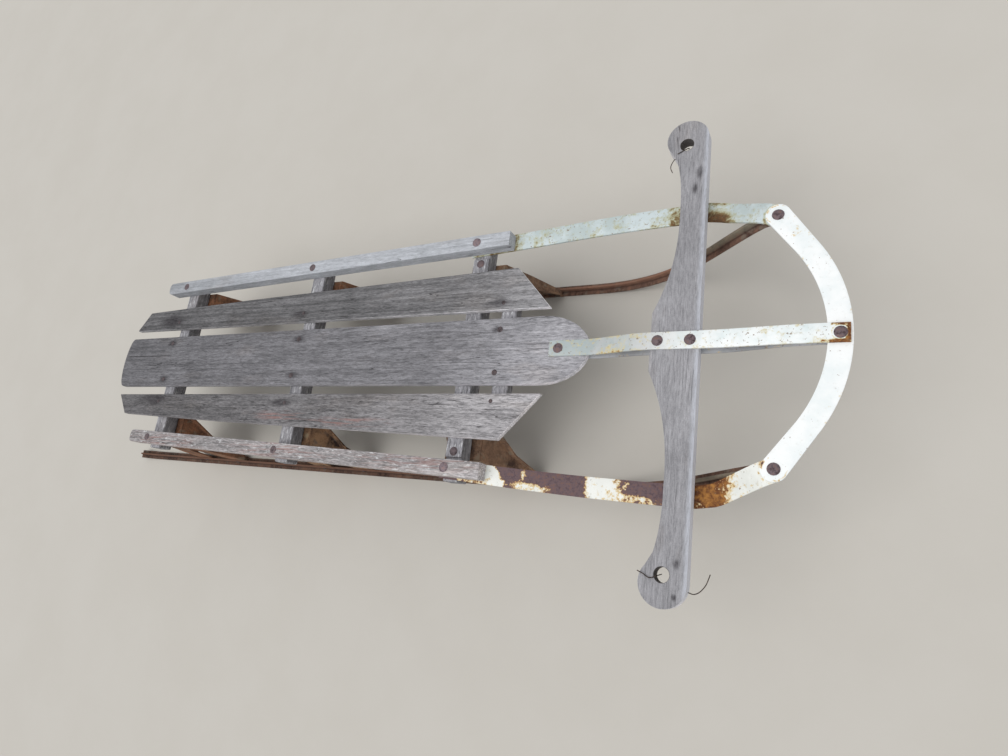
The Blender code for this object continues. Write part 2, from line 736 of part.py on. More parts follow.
def build_centre_straps():
    """Two straps that hold the steering bar, the deck's nose and the bow between them."""
    section = rectangle_profile("centre_strap_section", CENTRE_STRAP_WIDTH, 0.0, STRAP_THICK)
    rear = NOSE_X - CENTRE_STRAP_END
    front = BOW_X + CENTRE_STRAP_END - STRAP_THICK
    deck_edge = FRONT_BENCH_X + NOSE_REACH
    bar_rear = BAR_FRONT_X - BAR_NECK_WIDTH - BAR_SWELL
    upper = [
        (rear, DECK_TOP + SEAT_GAP), (deck_edge - BOARD_THICK, DECK_TOP + SEAT_GAP),
        (bar_rear - STRAP_THICK, BAR_TOP + SEAT_GAP), (BAR_FRONT_X + STRAP_THICK, BAR_TOP + SEAT_GAP),
        (BOW_X - BOW_WIDTH, BOW_TOP + SEAT_GAP), (front, BOW_TOP + SEAT_GAP),
    ]
    under = SEAT_GAP + STRAP_THICK
    lower = [
        (rear, BENCH_TOP - STRAP_THICK), (deck_edge, BENCH_TOP - STRAP_THICK),
        (bar_rear - STRAP_THICK, BAR_UNDERSIDE - under), (BAR_FRONT_X + STRAP_THICK, BAR_UNDERSIDE - under),
        (BOW_X - BOW_WIDTH, BOW_UNDERSIDE - under), (front, BOW_UNDERSIDE - under),
    ]
    for name, stations in (("upper_centre_strap", upper), ("lower_centre_strap", lower)):
        strap = swept_bar(name, strap_run(stations), section, "white_paint")
        for label, x in centre_pivots().items():
            hole = post(
                f"{name}_{label}", x, 0.0, BENCH_UNDERSIDE, BOW_TOP + BAR_THICK,
                SHANK_RADIUS + PIVOT_CLEARANCE,
            )
            cut(strap, hole)


def centre_pivots():
    front_rivet = BAR_FRONT_X - BAR_RIVET_INSET
    return {
        "nose": NOSE_X,
        "bar_rear": front_rivet - BAR_RIVET_PITCH,
        "bar_front": front_rivet,
        "bow": BOW_X,
    }


def bar_rear_x(y):
    """Rear edge of the bar: a swell in the middle, a narrow neck and a flare to the knob."""
    neck = BAR_FRONT_X - BAR_NECK_WIDTH
    if y < BAR_NECK_Y:
        out = min((BAR_NECK_Y - y) / (BAR_NECK_Y - BAR_SWELL_FLAT), 1.0)
        return neck - BAR_SWELL * out ** BAR_SWELL_POWER_SHARE
    flare_end = BAR_KNOB_Y - BAR_KNOB_RADIUS * math.sin(math.radians(BAR_FLARE_DEG))
    return neck - BAR_FLARE * ((y - BAR_NECK_Y) / (flare_end - BAR_NECK_Y)) ** 3


def build_steering_bar():
    """Straight front edge, a shaped rear edge and a round knob at each end."""
    knob_x = BAR_FRONT_X - BAR_KNOB_RADIUS
    flare_end = BAR_KNOB_Y - BAR_KNOB_RADIUS * math.sin(math.radians(BAR_FLARE_DEG))
    stations = [0.0]
    stations += [mix(BAR_SWELL_FLAT, BAR_NECK_Y, i / ROUND_STEPS) for i in range(ROUND_STEPS)]
    stations += [mix(BAR_NECK_Y, flare_end, i / ARC_STEPS) for i in range(ARC_STEPS)]
    half = [(bar_rear_x(y), y) for y in stations]
    turn = math.pi + math.radians(BAR_KNOB_JOIN_DEG)
    half += circle_points((knob_x, BAR_KNOB_Y), BAR_KNOB_RADIUS, KNOB_STEPS, turn, -turn, False)
    outline = half + [(x, -y) for x, y in reversed(half) if y > 0]
    hole_x = BAR_FRONT_X - BAR_HOLE_INSET
    holes = [(hole_x, sign * BAR_HOLE_Y, BAR_HOLE_RADIUS) for sign in SIDES.values()]
    pivots = centre_pivots()
    for label in ("bar_rear", "bar_front"):
        holes.append((pivots[label], 0.0, SHANK_RADIUS + PIVOT_CLEARANCE))
    flat_piece("steering_bar", outline, BAR_UNDERSIDE, BAR_TOP, "bar_wood", holes, BAR_EDGE)


def build_rivets():
    pivots = centre_pivots()
    under = SEAT_GAP + STRAP_THICK
    rivet("nose_rivet", pivots["nose"], 0.0, BENCH_TOP - STRAP_THICK, DECK_TOP + under)
    rivet("bow_rivet", pivots["bow"], 0.0, BOW_UNDERSIDE - under, BOW_TOP + under)
    for label in ("bar_rear", "bar_front"):
        rivet(label + "_rivet", pivots[label], 0.0, BAR_UNDERSIDE - under, BAR_TOP + under)
    for side, sign in SIDES.items():
        rivet(side + "_joint_rivet", JOINT_X, sign * JOINT_Y, TONGUE_TOP - TEE_FLANGE_THICK, BOW_TOP)
        rivet(
            side + "_rail_bolt", FRONT_BENCH_X, sign * RAIL_Y_FRONT, BENCH_UNDERSIDE,
            BENCH_TOP + SEAT_GAP + RAIL_THICK,
        )


build_benches()
build_cleat()
build_centre_board()
build_side_boards()
build_rails()
build_runners()
build_knees()
build_side_straps()
build_bow()
build_centre_straps()
build_steering_bar()
build_rivets()
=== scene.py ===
"""Looks of the steerable wooden sled, on the model that the frame holds.

Metres, X forward to the bow, Y to the rider's left, Z up. "Far" in a comment is +Y, "near" is -Y.
"""
import math
import random

import bmesh
import bpy
from mathutils import Matrix, Vector


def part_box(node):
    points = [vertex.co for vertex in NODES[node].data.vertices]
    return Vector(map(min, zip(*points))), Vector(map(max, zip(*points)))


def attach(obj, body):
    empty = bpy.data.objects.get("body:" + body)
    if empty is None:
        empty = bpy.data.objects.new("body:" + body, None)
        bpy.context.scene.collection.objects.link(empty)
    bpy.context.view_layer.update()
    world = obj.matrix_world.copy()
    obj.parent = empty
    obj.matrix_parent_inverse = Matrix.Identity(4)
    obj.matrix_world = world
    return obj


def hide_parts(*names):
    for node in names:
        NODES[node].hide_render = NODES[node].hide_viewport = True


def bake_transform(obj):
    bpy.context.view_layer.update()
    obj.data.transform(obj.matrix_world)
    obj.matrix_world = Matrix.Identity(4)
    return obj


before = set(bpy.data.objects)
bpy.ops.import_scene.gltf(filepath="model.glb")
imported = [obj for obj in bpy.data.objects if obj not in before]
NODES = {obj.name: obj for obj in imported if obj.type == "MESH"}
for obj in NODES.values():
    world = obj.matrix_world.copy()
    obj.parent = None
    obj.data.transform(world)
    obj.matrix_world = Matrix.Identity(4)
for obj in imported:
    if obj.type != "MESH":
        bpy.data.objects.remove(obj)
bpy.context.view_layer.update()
SIDES = {"left": 1.0, "right": -1.0}
UP = Vector((0.0, 0.0, 1.0))


# Camera

EYE = Vector((0.67323, -0.25869, 0.90428))
AZIMUTH, ELEVATION, ROLL = math.radians(61.383), math.radians(58.08), math.radians(-57.796)
LENS_MM = 23.115
SENSOR_MM = 36.0
CLIP_START = 0.01


def make_camera():
    """A camera at EYE that looks along AZIMUTH and down by ELEVATION, rolled about its own axis."""
    forward = Vector((
        -math.sin(AZIMUTH) * math.cos(ELEVATION), math.cos(AZIMUTH) * math.cos(ELEVATION),
        -math.sin(ELEVATION),
    ))
    level = forward.cross(UP).normalized()
    upright = level.cross(forward)
    right = math.cos(ROLL) * level + math.sin(ROLL) * upright
    up = math.cos(ROLL) * upright - math.sin(ROLL) * level
    lens = bpy.data.cameras.new("camera")
    lens.sensor_width = SENSOR_MM
    lens.lens = LENS_MM
    lens.clip_start = CLIP_START
    camera = bpy.data.objects.new("camera", lens)
    camera.matrix_world = Matrix.Translation(EYE) @ Matrix((right, up, -forward)).transposed().to_4x4()
    bpy.context.scene.collection.objects.link(camera)
    bpy.context.scene.camera = camera


# Colours

BRIGHTEST = 0.92


def srgb(red, green, blue):
    """A colour given as 0 to 255 per channel, as linear values."""
    channels = [c / 255.0 for c in (red, green, blue)]
    linear = [c / 12.92 if c <= 0.04045 else ((c + 0.055) / 1.055) ** 2.4 for c in channels]
    return (*linear, 1.0)


def shade(colour, factor):
    """A colour times a number, with no channel over BRIGHTEST."""
    return tuple(min(c * factor, BRIGHTEST) for c in colour[:3]) + (1.0,)


# Node graphs

SEED_SHARES = (1.0, 0.37, 0.61)
SPOT_CORE = 0.2


class Graph:
    """A material's node tree with short calls for the nodes used here.

    Each value may be a number, a colour or the output of another node. Places are in metres and
    noise scales in waves a metre.
    """

    def __init__(self, name, roughness, metallic=0.0, specular=0.3):
        self.material = bpy.data.materials.new(name)
        self.material.use_nodes = True
        self.tree = self.material.node_tree
        self.shader = self.tree.nodes["Principled BSDF"]
        self.shader.inputs["Roughness"].default_value = roughness
        self.shader.inputs["Metallic"].default_value = metallic
        self.shader.inputs["Specular IOR Level"].default_value = specular
        place = self.tree.nodes.new("ShaderNodeTexCoord")
        self.place = place.outputs["Object"]
        self.facing = place.outputs["Normal"]

    def put(self, socket, value):
        """Link a node's output to an input, or set a number or colour there. None leaves it alone."""
        if isinstance(value, bpy.types.NodeSocket):
            self.tree.links.new(value, socket)
        elif value is not None:
            socket.default_value = value

    def shifted(self, seed):
        """The place moved by a seed, so that materials don't share their noise."""
        node = self.tree.nodes.new("ShaderNodeMapping")
        node.inputs["Location"].default_value = [seed * share for share in SEED_SHARES]
        self.put(node.inputs["Vector"], self.place)
        return node.outputs[0]

    def noise(self, scale, detail=3.0, rough=0.5, vector=None, warp=0.0):
        """Soft noise from 0 to 1, at the real place if no vector is given."""
        node = self.tree.nodes.new("ShaderNodeTexNoise")
        node.inputs["Scale"].default_value = scale
        node.inputs["Detail"].default_value = detail
        node.inputs["Roughness"].default_value = rough
        node.inputs["Distortion"].default_value = warp
        self.put(node.inputs["Vector"], vector or self.place)
        return node.outputs["Fac"]

    def ramp(self, factor, stops):
        """Stops are (position, colour or grey value)."""
        node = self.tree.nodes.new("ShaderNodeValToRGB")
        band = node.color_ramp
        while len(band.elements) < len(stops):
            band.elements.new(1.0)
        for element, (position, colour) in zip(band.elements, stops):
            element.position = position
            element.color = colour if isinstance(colour, tuple) else (colour, colour, colour, 1.0)
        self.put(node.inputs["Fac"], factor)
        return node.outputs["Color"]

    def track(self, value, stops):
        """A number that runs through the given (place, number) stops, with straight lines between."""
        low, high = stops[0][0], stops[-1][0]
        share = self.sum("DIVIDE", self.sum("SUBTRACT", value, low), high - low)
        return self.ramp(share, [((at - low) / (high - low), number) for at, number in stops])

    def mix(self, factor, first, second, how="MIX"):
        """The first colour at factor 0 and the second at 1, or blended in another way."""
        node = self.tree.nodes.new("ShaderNodeMix")
        node.data_type = "RGBA"
        node.blend_type = how
        self.put(node.inputs[0], factor)
        self.put(node.inputs[6], first)
        self.put(node.inputs[7], second)
        return node.outputs[2]

    def scaled(self, colour, factor):
        """A colour times a number."""
        return self.mix(1.0, colour, self.join(factor, factor, factor), "MULTIPLY")

    def sum(self, how, first, second=None):
        """One step of arithmetic. how is the Math node's operation."""
        node = self.tree.nodes.new("ShaderNodeMath")
        node.operation = how
        self.put(node.inputs[0], first)
        self.put(node.inputs[1], second)
        return node.outputs[0]

    def product(self, first, second):
        """Two numbers multiplied."""
        return self.sum("MULTIPLY", first, second)

    def weigh(self, *pairs):
        """The sum of each value times its weight."""
        total = None
        for value, weight in pairs:
            part = self.product(value, weight)
            total = part if total is None else self.sum("ADD", total, part)
        return total

    def between(self, value, low, high, out_low=0.0, out_high=1.0):
        """Map a range to another, clamped and eased at both ends."""
        node = self.tree.nodes.new("ShaderNodeMapRange")
        node.interpolation_type = "SMOOTHSTEP"
        for socket, number in zip(node.inputs, (value, low, high, out_low, out_high)):
            self.put(socket, number)
        return node.outputs[0]

    def axes(self, source=None):
        """The three values of a place or direction. With no source it is the real place."""
        node = self.tree.nodes.new("ShaderNodeSeparateXYZ")
        self.put(node.inputs[0], source or self.place)
        return node.outputs

    def join(self, x, y, z):
        """Three numbers as one place or colour."""
        node = self.tree.nodes.new("ShaderNodeCombineXYZ")
        for socket, value in zip(node.inputs, (x, y, z)):
            self.put(socket, value)
        return node.outputs[0]

    def attribute(self, name):
        """A number that the mesh stores at each vertex."""
        node = self.tree.nodes.new("ShaderNodeAttribute")
        node.attribute_name = name
        return node.outputs["Fac"]

    def reach(self, x, y, length, width):
        """Distance from the middle of an oval seen from above, 1 at its rim."""
        here_x, here_y = self.axes()[:2]
        dx = self.sum("DIVIDE", self.sum("SUBTRACT", here_x, x), length)
        dy = self.sum("DIVIDE", self.sum("SUBTRACT", here_y, y), width)
        return self.sum("SQRT", self.sum("ADD", self.product(dx, dx), self.product(dy, dy)))

    def spots(self, ovals):
        """Soft oval marks seen from above, 1 in the middle. ovals are (x, y, length, width)."""
        total = None
        for oval in ovals:
            mark = self.between(self.reach(*oval), SPOT_CORE, 1.0, 1.0, 0.0)
            total = mark if total is None else self.sum("MAXIMUM", total, mark)
        return total

    def bump(self, height, distance, strength):
        """A normal that follows a height, which runs over the distance in metres."""
        node = self.tree.nodes.new("ShaderNodeBump")
        node.inputs["Distance"].default_value = distance
        node.inputs["Strength"].default_value = strength
        self.put(node.inputs["Height"], height)
        return node.outputs[0]

    def finish(self, colour, normal=None, roughness=None):
        """Give the shader its inputs. No roughness keeps the plain value."""
        self.put(self.shader.inputs["Base Color"], colour)
        self.put(self.shader.inputs["Normal"], normal)
        self.put(self.shader.inputs["Roughness"], roughness)
        return self.material


# Weathered wood

DEEP = srgb(40, 36, 37)
STAIN = srgb(48, 44, 48)
PINK = srgb(160, 116, 108)
FLECK = srgb(226, 228, 230)
# Pale band of a worn front edge, also a painted highlight
LIT_WORN_EDGE_TONE = srgb(200, 204, 214)
# Painted shade on the walls of the rope holes
HOLE_SHADE = srgb(60, 54, 48)
WARM = (1.0, 0.93, 0.86, 1.0)
GRAIN_SWAY = 0.010
SEAM_HALF = 0.0015
SEAM_SWAY = 0.006
SEAM_FADE_IN = 0.01
SEAM_FADE_OUT = 0.02
# Width and inset of the pale front-edge band, worn and a painted highlight
LIT_WORN_EDGE_WIDTH = 0.0075
LIT_WORN_EDGE_INSET = 0.001
BORE_RIM = 1.06
# How deep the bump of the wood is, and how strong
WOOD_BUMP = (0.0012, 0.85)


class Grain:
    """Noise drawn out along a board, swaying a little across it."""

    def __init__(self, g, along, seed):
        self.g = g
        x, y, self.z = g.axes(g.shifted(seed))
        self.run, self.across = (x, y) if along == "x" else (y, x)
        place = g.join(g.product(self.run, 4.0), g.product(self.across, 7.0), seed)
        self.wave = g.noise(1.0, 2.0, 0.5, place)
        sway = g.product(g.sum("SUBTRACT", self.wave, 0.5), GRAIN_SWAY)
        self.bent = g.sum("ADD", self.across, sway)

    def noise(self, run_scale, cross_scale, detail, rough, lift=0.0):
        """The scales are waves a metre, along the board and across it. lift makes it another noise."""
        g = self.g
        return g.noise(1.0, detail, rough, g.join(
            g.product(self.run, run_scale), g.product(self.bent, cross_scale),
            g.sum("ADD", g.product(self.z, cross_scale), lift),
        ))


def grey_wood(g, grain, tint, contrast, coarse, dashes, streaks):
    """The plain weathered colour, with the grain and the furrows that also make its bump."""
    fine = grain.noise(120.0, 800.0 / coarse, 4.0, 0.70)
    middle = grain.noise(38.0, 320.0 / coarse, 4.0, 0.66, 3.7)
    broad = grain.noise(4.0, 52.0, 3.0, 0.6, 7.9)
    furrow = grain.noise(90.0, 560.0 / coarse, 3.0, 0.6, 5.3)
    streak = grain.noise(2.4, 210.0, 3.0, 0.6, 4.4)
    patch = g.noise(17.0, 4.0, 0.65, g.join(g.product(grain.run, 0.6), grain.across, grain.z))
    speckle = g.noise(1100.0, 2.0, 0.75)
    field = g.weigh((fine, 0.46), (middle, 0.34), (broad, 0.20))
    spread = 0.16 / contrast
    light = g.between(field, 0.5 - spread, 0.5 + spread)
    base = srgb(*tint)
    colour = g.ramp(light, [(0.0, shade(base, 0.58)), (0.45, base), (1.0, shade(base, 1.5))])
    colour = g.mix(g.between(furrow, 0.54, 0.66, 0.0, dashes), colour, shade(base, 0.42))
    for value, stops in (
        (patch, [(0.32, 0.83), (0.68, 1.17)]),
        (streak, [(0.38, 1.0 - 0.20 * streaks), (0.60, 1.0 + 0.14 * streaks)]),
        (speckle, [(0.3, 0.83), (0.7, 1.15)]),
    ):
        colour = g.mix(1.0, colour, g.ramp(value, stops), "MULTIPLY")
    return colour, field, furrow


def cracks(g, grain, coarse, checks, seam):
    """Dark grooves along the grain, 1 in their middle, with the seam if there is one."""
    ridge = g.sum("ABSOLUTE", g.sum("SUBTRACT", grain.noise(5.5, 120.0 / coarse, 2.0, 0.45, 2.3), 0.5))
    gate = g.between(grain.noise(8.0, 60.0, 2.0, 0.5, 9.1), 0.60 - 0.16 * checks, 0.68 - 0.16 * checks)
    groove = g.product(g.between(ridge, 0.0, 0.011, 1.0, 0.0), gate)
    if not seam:
        return groove
    start, end, at = seam
    x, y = g.axes()[:2]
    swaying = g.weigh((y, 1.0), (grain.wave, SEAM_SWAY))
    off = g.sum("ABSOLUTE", g.sum("SUBTRACT", swaying, at + SEAM_SWAY / 2))
    after_start = g.between(x, start - SEAM_FADE_IN, start)
    before_end = g.between(x, end, end + SEAM_FADE_OUT, 1.0, 0.0)
    gap = g.product(g.between(off, 0.0, SEAM_HALF, 1.0, 0.0), g.product(after_start, before_end))
    return g.sum("MAXIMUM", groove, gap)


def wood(name, seed, tint, along="x", shades=(), contrast=1.0, coarse=1.0, checks=0.5, dashes=0.6,
         streaks=0.6, side_face_light=1.25, stains=(), pink=(), pink_amount=0.5, flecks=0.0, seam=None,
         worn_lit_edge=None, shaded_holes=()):
    """Grey, weathered wood with its grain along one axis.

    shades lists (place along the grain, factor). checks is how many cracks open along the grain,
    dashes how dark its short furrows are, streaks how strong the long ones, flecks how much old
    paint is left, and side_face_light is painted light and shade on the side faces, lighter above 1
    and darker below 1. stains and pink are oval marks given as (x, y, length, width). seam is one
    long crack as (from x, to x, y), worn_lit_edge the X of a front edge with a pale band, worn and a
    painted highlight, and shaded_holes are holes whose walls get painted shade, as (x, y, radius).
    """
    g = Graph(name, roughness=0.88, specular=0.22)
    grain = Grain(g, along, seed)
    x, y = g.axes()[:2]
    colour, field, furrow = grey_wood(g, grain, tint, contrast, coarse, dashes, streaks)
    if shades:
        half = g.track(x if along == "x" else y, [(at, factor / 2) for at, factor in shades])
        colour = g.scaled(colour, g.product(half, 2.0))
    place = g.join(g.product(grain.run, 0.35), grain.across, g.sum("ADD", grain.z, 5.0))
    warm = g.between(g.noise(26.0, 3.0, 0.6, place), 0.54, 0.70, 0.0, 0.35)
    colour = g.mix(warm, colour, g.mix(1.0, colour, WARM, "MULTIPLY"))
    if pink:
        worn = g.between(grain.noise(20.0, 300.0, 3.0, 0.65, 1.9), 0.47, 0.60)
        colour = g.mix(g.product(g.product(g.spots(pink), worn), pink_amount), colour, PINK)
    if flecks:
        paint = grain.noise(60.0, 260.0, 3.0, 0.7, 11.3)
        left = g.between(paint, 0.64 - 0.1 * flecks, 0.69 - 0.1 * flecks, 0.0, 0.6)
        colour = g.mix(left, colour, FLECK)
    groove = cracks(g, grain, coarse, checks, seam)
    colour = g.mix(g.product(groove, 0.72), colour, DEEP)
    if stains:
        soaked = g.product(g.spots(stains), g.between(field, 0.38, 0.62, 1.0, 0.6))
        colour = g.mix(g.product(soaked, 0.88), colour, STAIN)
    # Painted light and shade: side faces are scaled by side_face_light, lighter above 1 and darker below
    # 1.
    upright = g.sum("ABSOLUTE", g.axes(g.facing)[2])
    colour = g.scaled(colour, g.between(upright, 0.3, 0.9, side_face_light, 1.0))
    # A pale band along the front edge: worn wood and a painted highlight.
    if worn_lit_edge:
        at_edge = g.between(x, worn_lit_edge - LIT_WORN_EDGE_WIDTH, worn_lit_edge - LIT_WORN_EDGE_INSET)
        colour = g.mix(g.product(at_edge, g.between(field, 0.38, 0.58, 0.2, 0.65)), colour, LIT_WORN_EDGE_TONE)
    # Painted shade on the walls of the holes.
    for bore_x, bore_y, radius in shaded_holes:
        shaded_wall = g.between(g.reach(bore_x, bore_y, radius, radius), 1.0, BORE_RIM, 0.9, 0.0)
        colour = g.mix(shaded_wall, colour, HOLE_SHADE)
    height = g.weigh((field, 1.0), (groove, -0.5), (furrow, -0.4))
    return g.finish(colour, g.bump(height, *WOOD_BUMP))


# Rusty steel

# Tones of the rust, as (dark, mid, bright, grey)
RUNNER_RUST = ((72, 54, 48), (116, 90, 78), (140, 106, 88), (130, 120, 108))
KNEE_RUST = ((72, 52, 44), (120, 86, 66), (156, 108, 80), (132, 118, 102))
FRONT_KNEE_RUST = ((76, 58, 50), (124, 98, 80), (152, 120, 96), (136, 124, 108))
NEAR_MID_KNEE_RUST = ((58, 44, 39), (136, 106, 82), (162, 128, 98), (110, 100, 92))
KNEE_MARK = srgb(176, 160, 132)

# Tones of the heads, as (dark, mid, bright)
RIVET_TONES = ((70, 52, 54), (114, 100, 105), (128, 98, 86))
DECK_BOLT_TONES = ((52, 44, 45), (84, 74, 77), (100, 85, 84))
BENCH_BOLT_TONES = ((70, 58, 60), (106, 94, 98), (120, 98, 94))
RAIL_BOLT_TONES = ((88, 72, 76), (134, 120, 126), (146, 118, 112))

# How deep each bump is, and how strong
RUST_BUMP = (0.0008, 0.9)
HEAD_BUMP = (0.0004, 0.9)


def rusty(name, seed, tones, marks=(), worn_lit_crest=(), shades=()):
    """Brown rust in the given tones. marks are pale spots given as (x, y, length, width).

    worn_lit_crest is a worn line along the top of the runners' ridge, also lighter as a painted
    highlight, as two stops of (x, colour), with painted shadow along the foot of the ridge. shades
    lists (x, factor); on the runners it is painted shade, darker where they run under the deck.
    """
    g = Graph(name, roughness=0.88, specular=0.25)
    dark, mid, bright, grey = (srgb(*tone) for tone in tones)
    place = g.shifted(seed)
    broad = g.noise(24.0, 4.0, 0.6, place, 0.3)
    fine = g.noise(280.0, 4.0, 0.7, place)
    pits = g.noise(620.0, 3.0, 0.7, place)
    worn = g.noise(70.0, 4.0, 0.65, place, 0.4)
    x, y, z = g.axes(place)
    streak = g.noise(1.0, 3.0, 0.6, g.join(g.product(x, 150.0), g.product(y, 60.0), g.product(z, 22.0)))
    field = g.weigh((broad, 0.4), (fine, 0.3), (streak, 0.3))
    colour = g.ramp(field, [(0.40, dark), (0.50, mid), (0.60, bright)])
    colour = g.mix(g.between(worn, 0.53, 0.66, 0.0, 0.65), colour, grey)
    colour = g.mix(g.between(pits, 0.60, 0.68, 0.0, 0.5), colour, dark)
    if marks:
        colour = g.mix(g.product(g.spots(marks), 0.6), colour, KNEE_MARK)
    # Painted highlight along the worn top of the ridge, and painted shadow along the foot of the ridge.
    if worn_lit_crest:
        (start, start_tone), (end, end_tone) = worn_lit_crest
        side = g.sum("ABSOLUTE", g.attribute("across"))
        line = g.mix(g.between(g.axes()[0], start, end), srgb(*start_tone), srgb(*end_tone))
        colour = g.mix(g.between(side, 0.05, 0.25, 0.6, 0.0), colour, line)
        stem_foot_shadow = g.product(g.between(side, 0.14, 0.22), g.between(side, 0.24, 0.5, 0.6, 0.0))
        colour = g.mix(stem_foot_shadow, colour, dark)
    # Brightness along X; on the runners this is painted shade, darker under the deck.
    if shades:
        colour = g.scaled(colour, g.track(g.axes()[0], shades))
    height = g.weigh((fine, 0.6), (broad, 0.4))
    return g.finish(colour, g.bump(height, *RUST_BUMP))


def head_finish(name, seed, tones):
    """Dark rusty heads of rivets and bolts."""
    g = Graph(name, roughness=0.6, metallic=0.2, specular=0.4)
    place = g.shifted(seed)
    fine = g.noise(800.0, 4.0, 0.7, place)
    broad = g.noise(230.0, 3.0, 0.6, place)
    dark, mid, bright = (srgb(*tone) for tone in tones)
    colour = g.ramp(g.weigh((broad, 0.7), (fine, 0.3)), [(0.38, dark), (0.52, mid), (0.66, bright)])
    return g.finish(colour, g.bump(fine, *HEAD_BUMP))


# Chipped white paint over rust

BARE_STEEL = ((62, 44, 46), (98, 78, 80), (120, 86, 72))
ORANGE_RUST = [(0.38, srgb(62, 38, 30)), (0.50, srgb(108, 66, 40)), (0.62, srgb(172, 120, 62))]
YELLOW_HALO = ((216, 186, 118), (162, 104, 56))
GRIME = srgb(158, 150, 132)
SPECK = srgb(128, 104, 80)
BARE_UNDERSIDE = 0.35
RIM_START = 0.70
RUST_SWAY = 0.03
# A ring fades out over these shares of its radius, on both sides of it
RING_FADE = (0.03, 0.16)
BORDER_FADE_IN = 0.006
BORDER_FADE_OUT = 0.004
# The border across the end, as distances back from where the frame ends
BORDER_END = (0.012, 0.0075)
ORANGE_FADE_IN = 0.015
ORANGE_FULL = 0.01
PAINT_BUMP = (0.00035, 0.9)


def bare_share(g, x, side, broad, fine, inner, outer, split, rings, frames, rim):
    """How bare the steel is, from 0, sound paint, to 1, before the edges of the rust are broken up."""
    edge_distance = g.sum("ABSOLUTE", side)
    amount = g.between(edge_distance, RIM_START, 1.0, 0.0, rim)
    if inner:
        wavy = g.weigh((side, 1.0), (fine, 1.2), (broad, 1.0))
        part = g.between(wavy, split[0] + 1.1, split[1] + 1.1)
        amount = g.sum("ADD", amount, g.mix(part, g.track(x, inner), g.track(x, outer)))
    # Rings of bare rust; on the side straps round the bow's end they are also painted shadow of that end.
    for ring_x, ring_y, radius, share in rings:
        off = g.sum("ABSOLUTE", g.sum("SUBTRACT", g.reach(ring_x, ring_y, radius, radius), 1.0))
        amount = g.sum("ADD", amount, g.between(off, *RING_FADE, share, 0.0))
    for start, end, share in frames:
        after_start = g.between(x, start, start + BORDER_FADE_IN)
        before_end = g.between(x, end - BORDER_FADE_OUT, end, 1.0, 0.0)
        edge = g.between(edge_distance, 0.55, 0.9)
        last = g.between(g.axes()[0], end - BORDER_END[0], end - BORDER_END[1])
        border = g.product(g.product(after_start, before_end), g.sum("MAXIMUM", edge, last))
        amount = g.sum("ADD", amount, g.product(border, share))
    return amount


def chipped(name, seed, paint, specks, dirt, rim, bare=BARE_STEEL, halo=YELLOW_HALO, soft=0.0,
            warm=None, inner=(), outer=(), split=(-0.35, 0.35), rings=(), frames=(), shades=()):
    """White paint that has flaked off in places.

    paint is the pale tone of the paint and the tint of its clouds. specks is how many small chips
    it has, and dirt how grimy it is. inner and outer list (x, share) along both halves of the strap,
    from 0, sound paint, to 1, bare rust; they meet at split. rim is the share along both edges,
    rings are (x, y, radius, share) of bare rust, which round the bow's end on the side straps is also
    painted shadow of that end, and frames are (from x, to x, share). soft blurs the edges of the
    rust, and halo gives their pale and dark tones. shades lists (x, factor) for the paint. The bare
    steel is orange ahead of warm.
    """
    g = Graph(name, roughness=0.5, specular=0.35)
    place = g.shifted(seed)
    broad = g.noise(42.0, 4.0, 0.62, place, 0.4)
    fine = g.noise(190.0, 4.0, 0.65, place, 0.2)
    tiny = g.noise(420.0, 3.0, 0.6, place)
    x = g.sum("ADD", g.axes()[0], g.product(g.sum("SUBTRACT", broad, 0.5), RUST_SWAY))
    side = g.attribute("across")
    amount = bare_share(g, x, side, broad, fine, inner, outer, split, rings, frames, rim)
    flake = g.weigh((broad, 0.5), (fine, 0.35), (tiny, 0.15))
    field = g.sum("ADD", flake, g.product(amount, 0.34))

    pale, tint = (srgb(*tone) for tone in paint)
    tone = g.mix(g.between(g.noise(16.0, 4.0, 0.65, place), 0.40, 0.62), pale, tint)
    if shades:
        tone = g.scaled(tone, g.track(x, shades))
    tone = g.mix(g.between(fine, 0.55, 0.72, 0.0, dirt), tone, GRIME)

    dark, mid, bright = (srgb(*c) for c in bare)
    metal = g.ramp(g.weigh((fine, 0.6), (tiny, 0.4)), [(0.36, dark), (0.50, mid), (0.64, bright)])
    if warm:
        orange = g.ramp(g.weigh((fine, 0.5), (broad, 0.5)), ORANGE_RUST)
        metal = g.mix(g.between(x, warm - ORANGE_FADE_IN, warm + ORANGE_FULL), metal, orange)

    light_halo, dark_halo = (srgb(*c) for c in halo)
    colour = g.mix(g.between(field, 0.58 - soft, 0.66, 0.0, 0.8), tone, light_halo)
    colour = g.mix(g.between(field, 0.65 - soft / 2, 0.69 + soft / 3, 0.0, 0.9), colour, dark_halo)
    gone = g.between(field, 0.675, 0.70 + soft)
    colour = g.mix(gone, colour, metal)
    dots = g.noise(300.0, 2.0, 0.5, place)
    colour = g.mix(g.between(dots, 0.73 - 0.12 * specks, 0.77 - 0.12 * specks, 0.0, 0.75), colour, SPECK)
    below = g.between(g.axes(g.facing)[2], -0.5, -0.2, 1.0, 0.0)
    colour = g.mix(g.product(below, BARE_UNDERSIDE), colour, metal)
    height = g.sum("SUBTRACT", g.product(fine, 0.12), gone)
    return g.finish(colour, g.bump(height, *PAINT_BUMP), g.between(field, 0.62, 0.70, 0.42, 0.9))


# Geometry

SMOOTH_BELOW = math.radians(38.0)
SHARP_ABOVE = math.radians(50.0)
MERGE = 0.00001
CUT_INSET = 0.00005
CUT_STEP = 0.006
BOW_CUT_STEP = 0.008
WORN_EDGE = 0.0005


def mix(a, b, t):
    """A number from a to b as t goes from 0 to 1."""
    return a + (b - a) * t


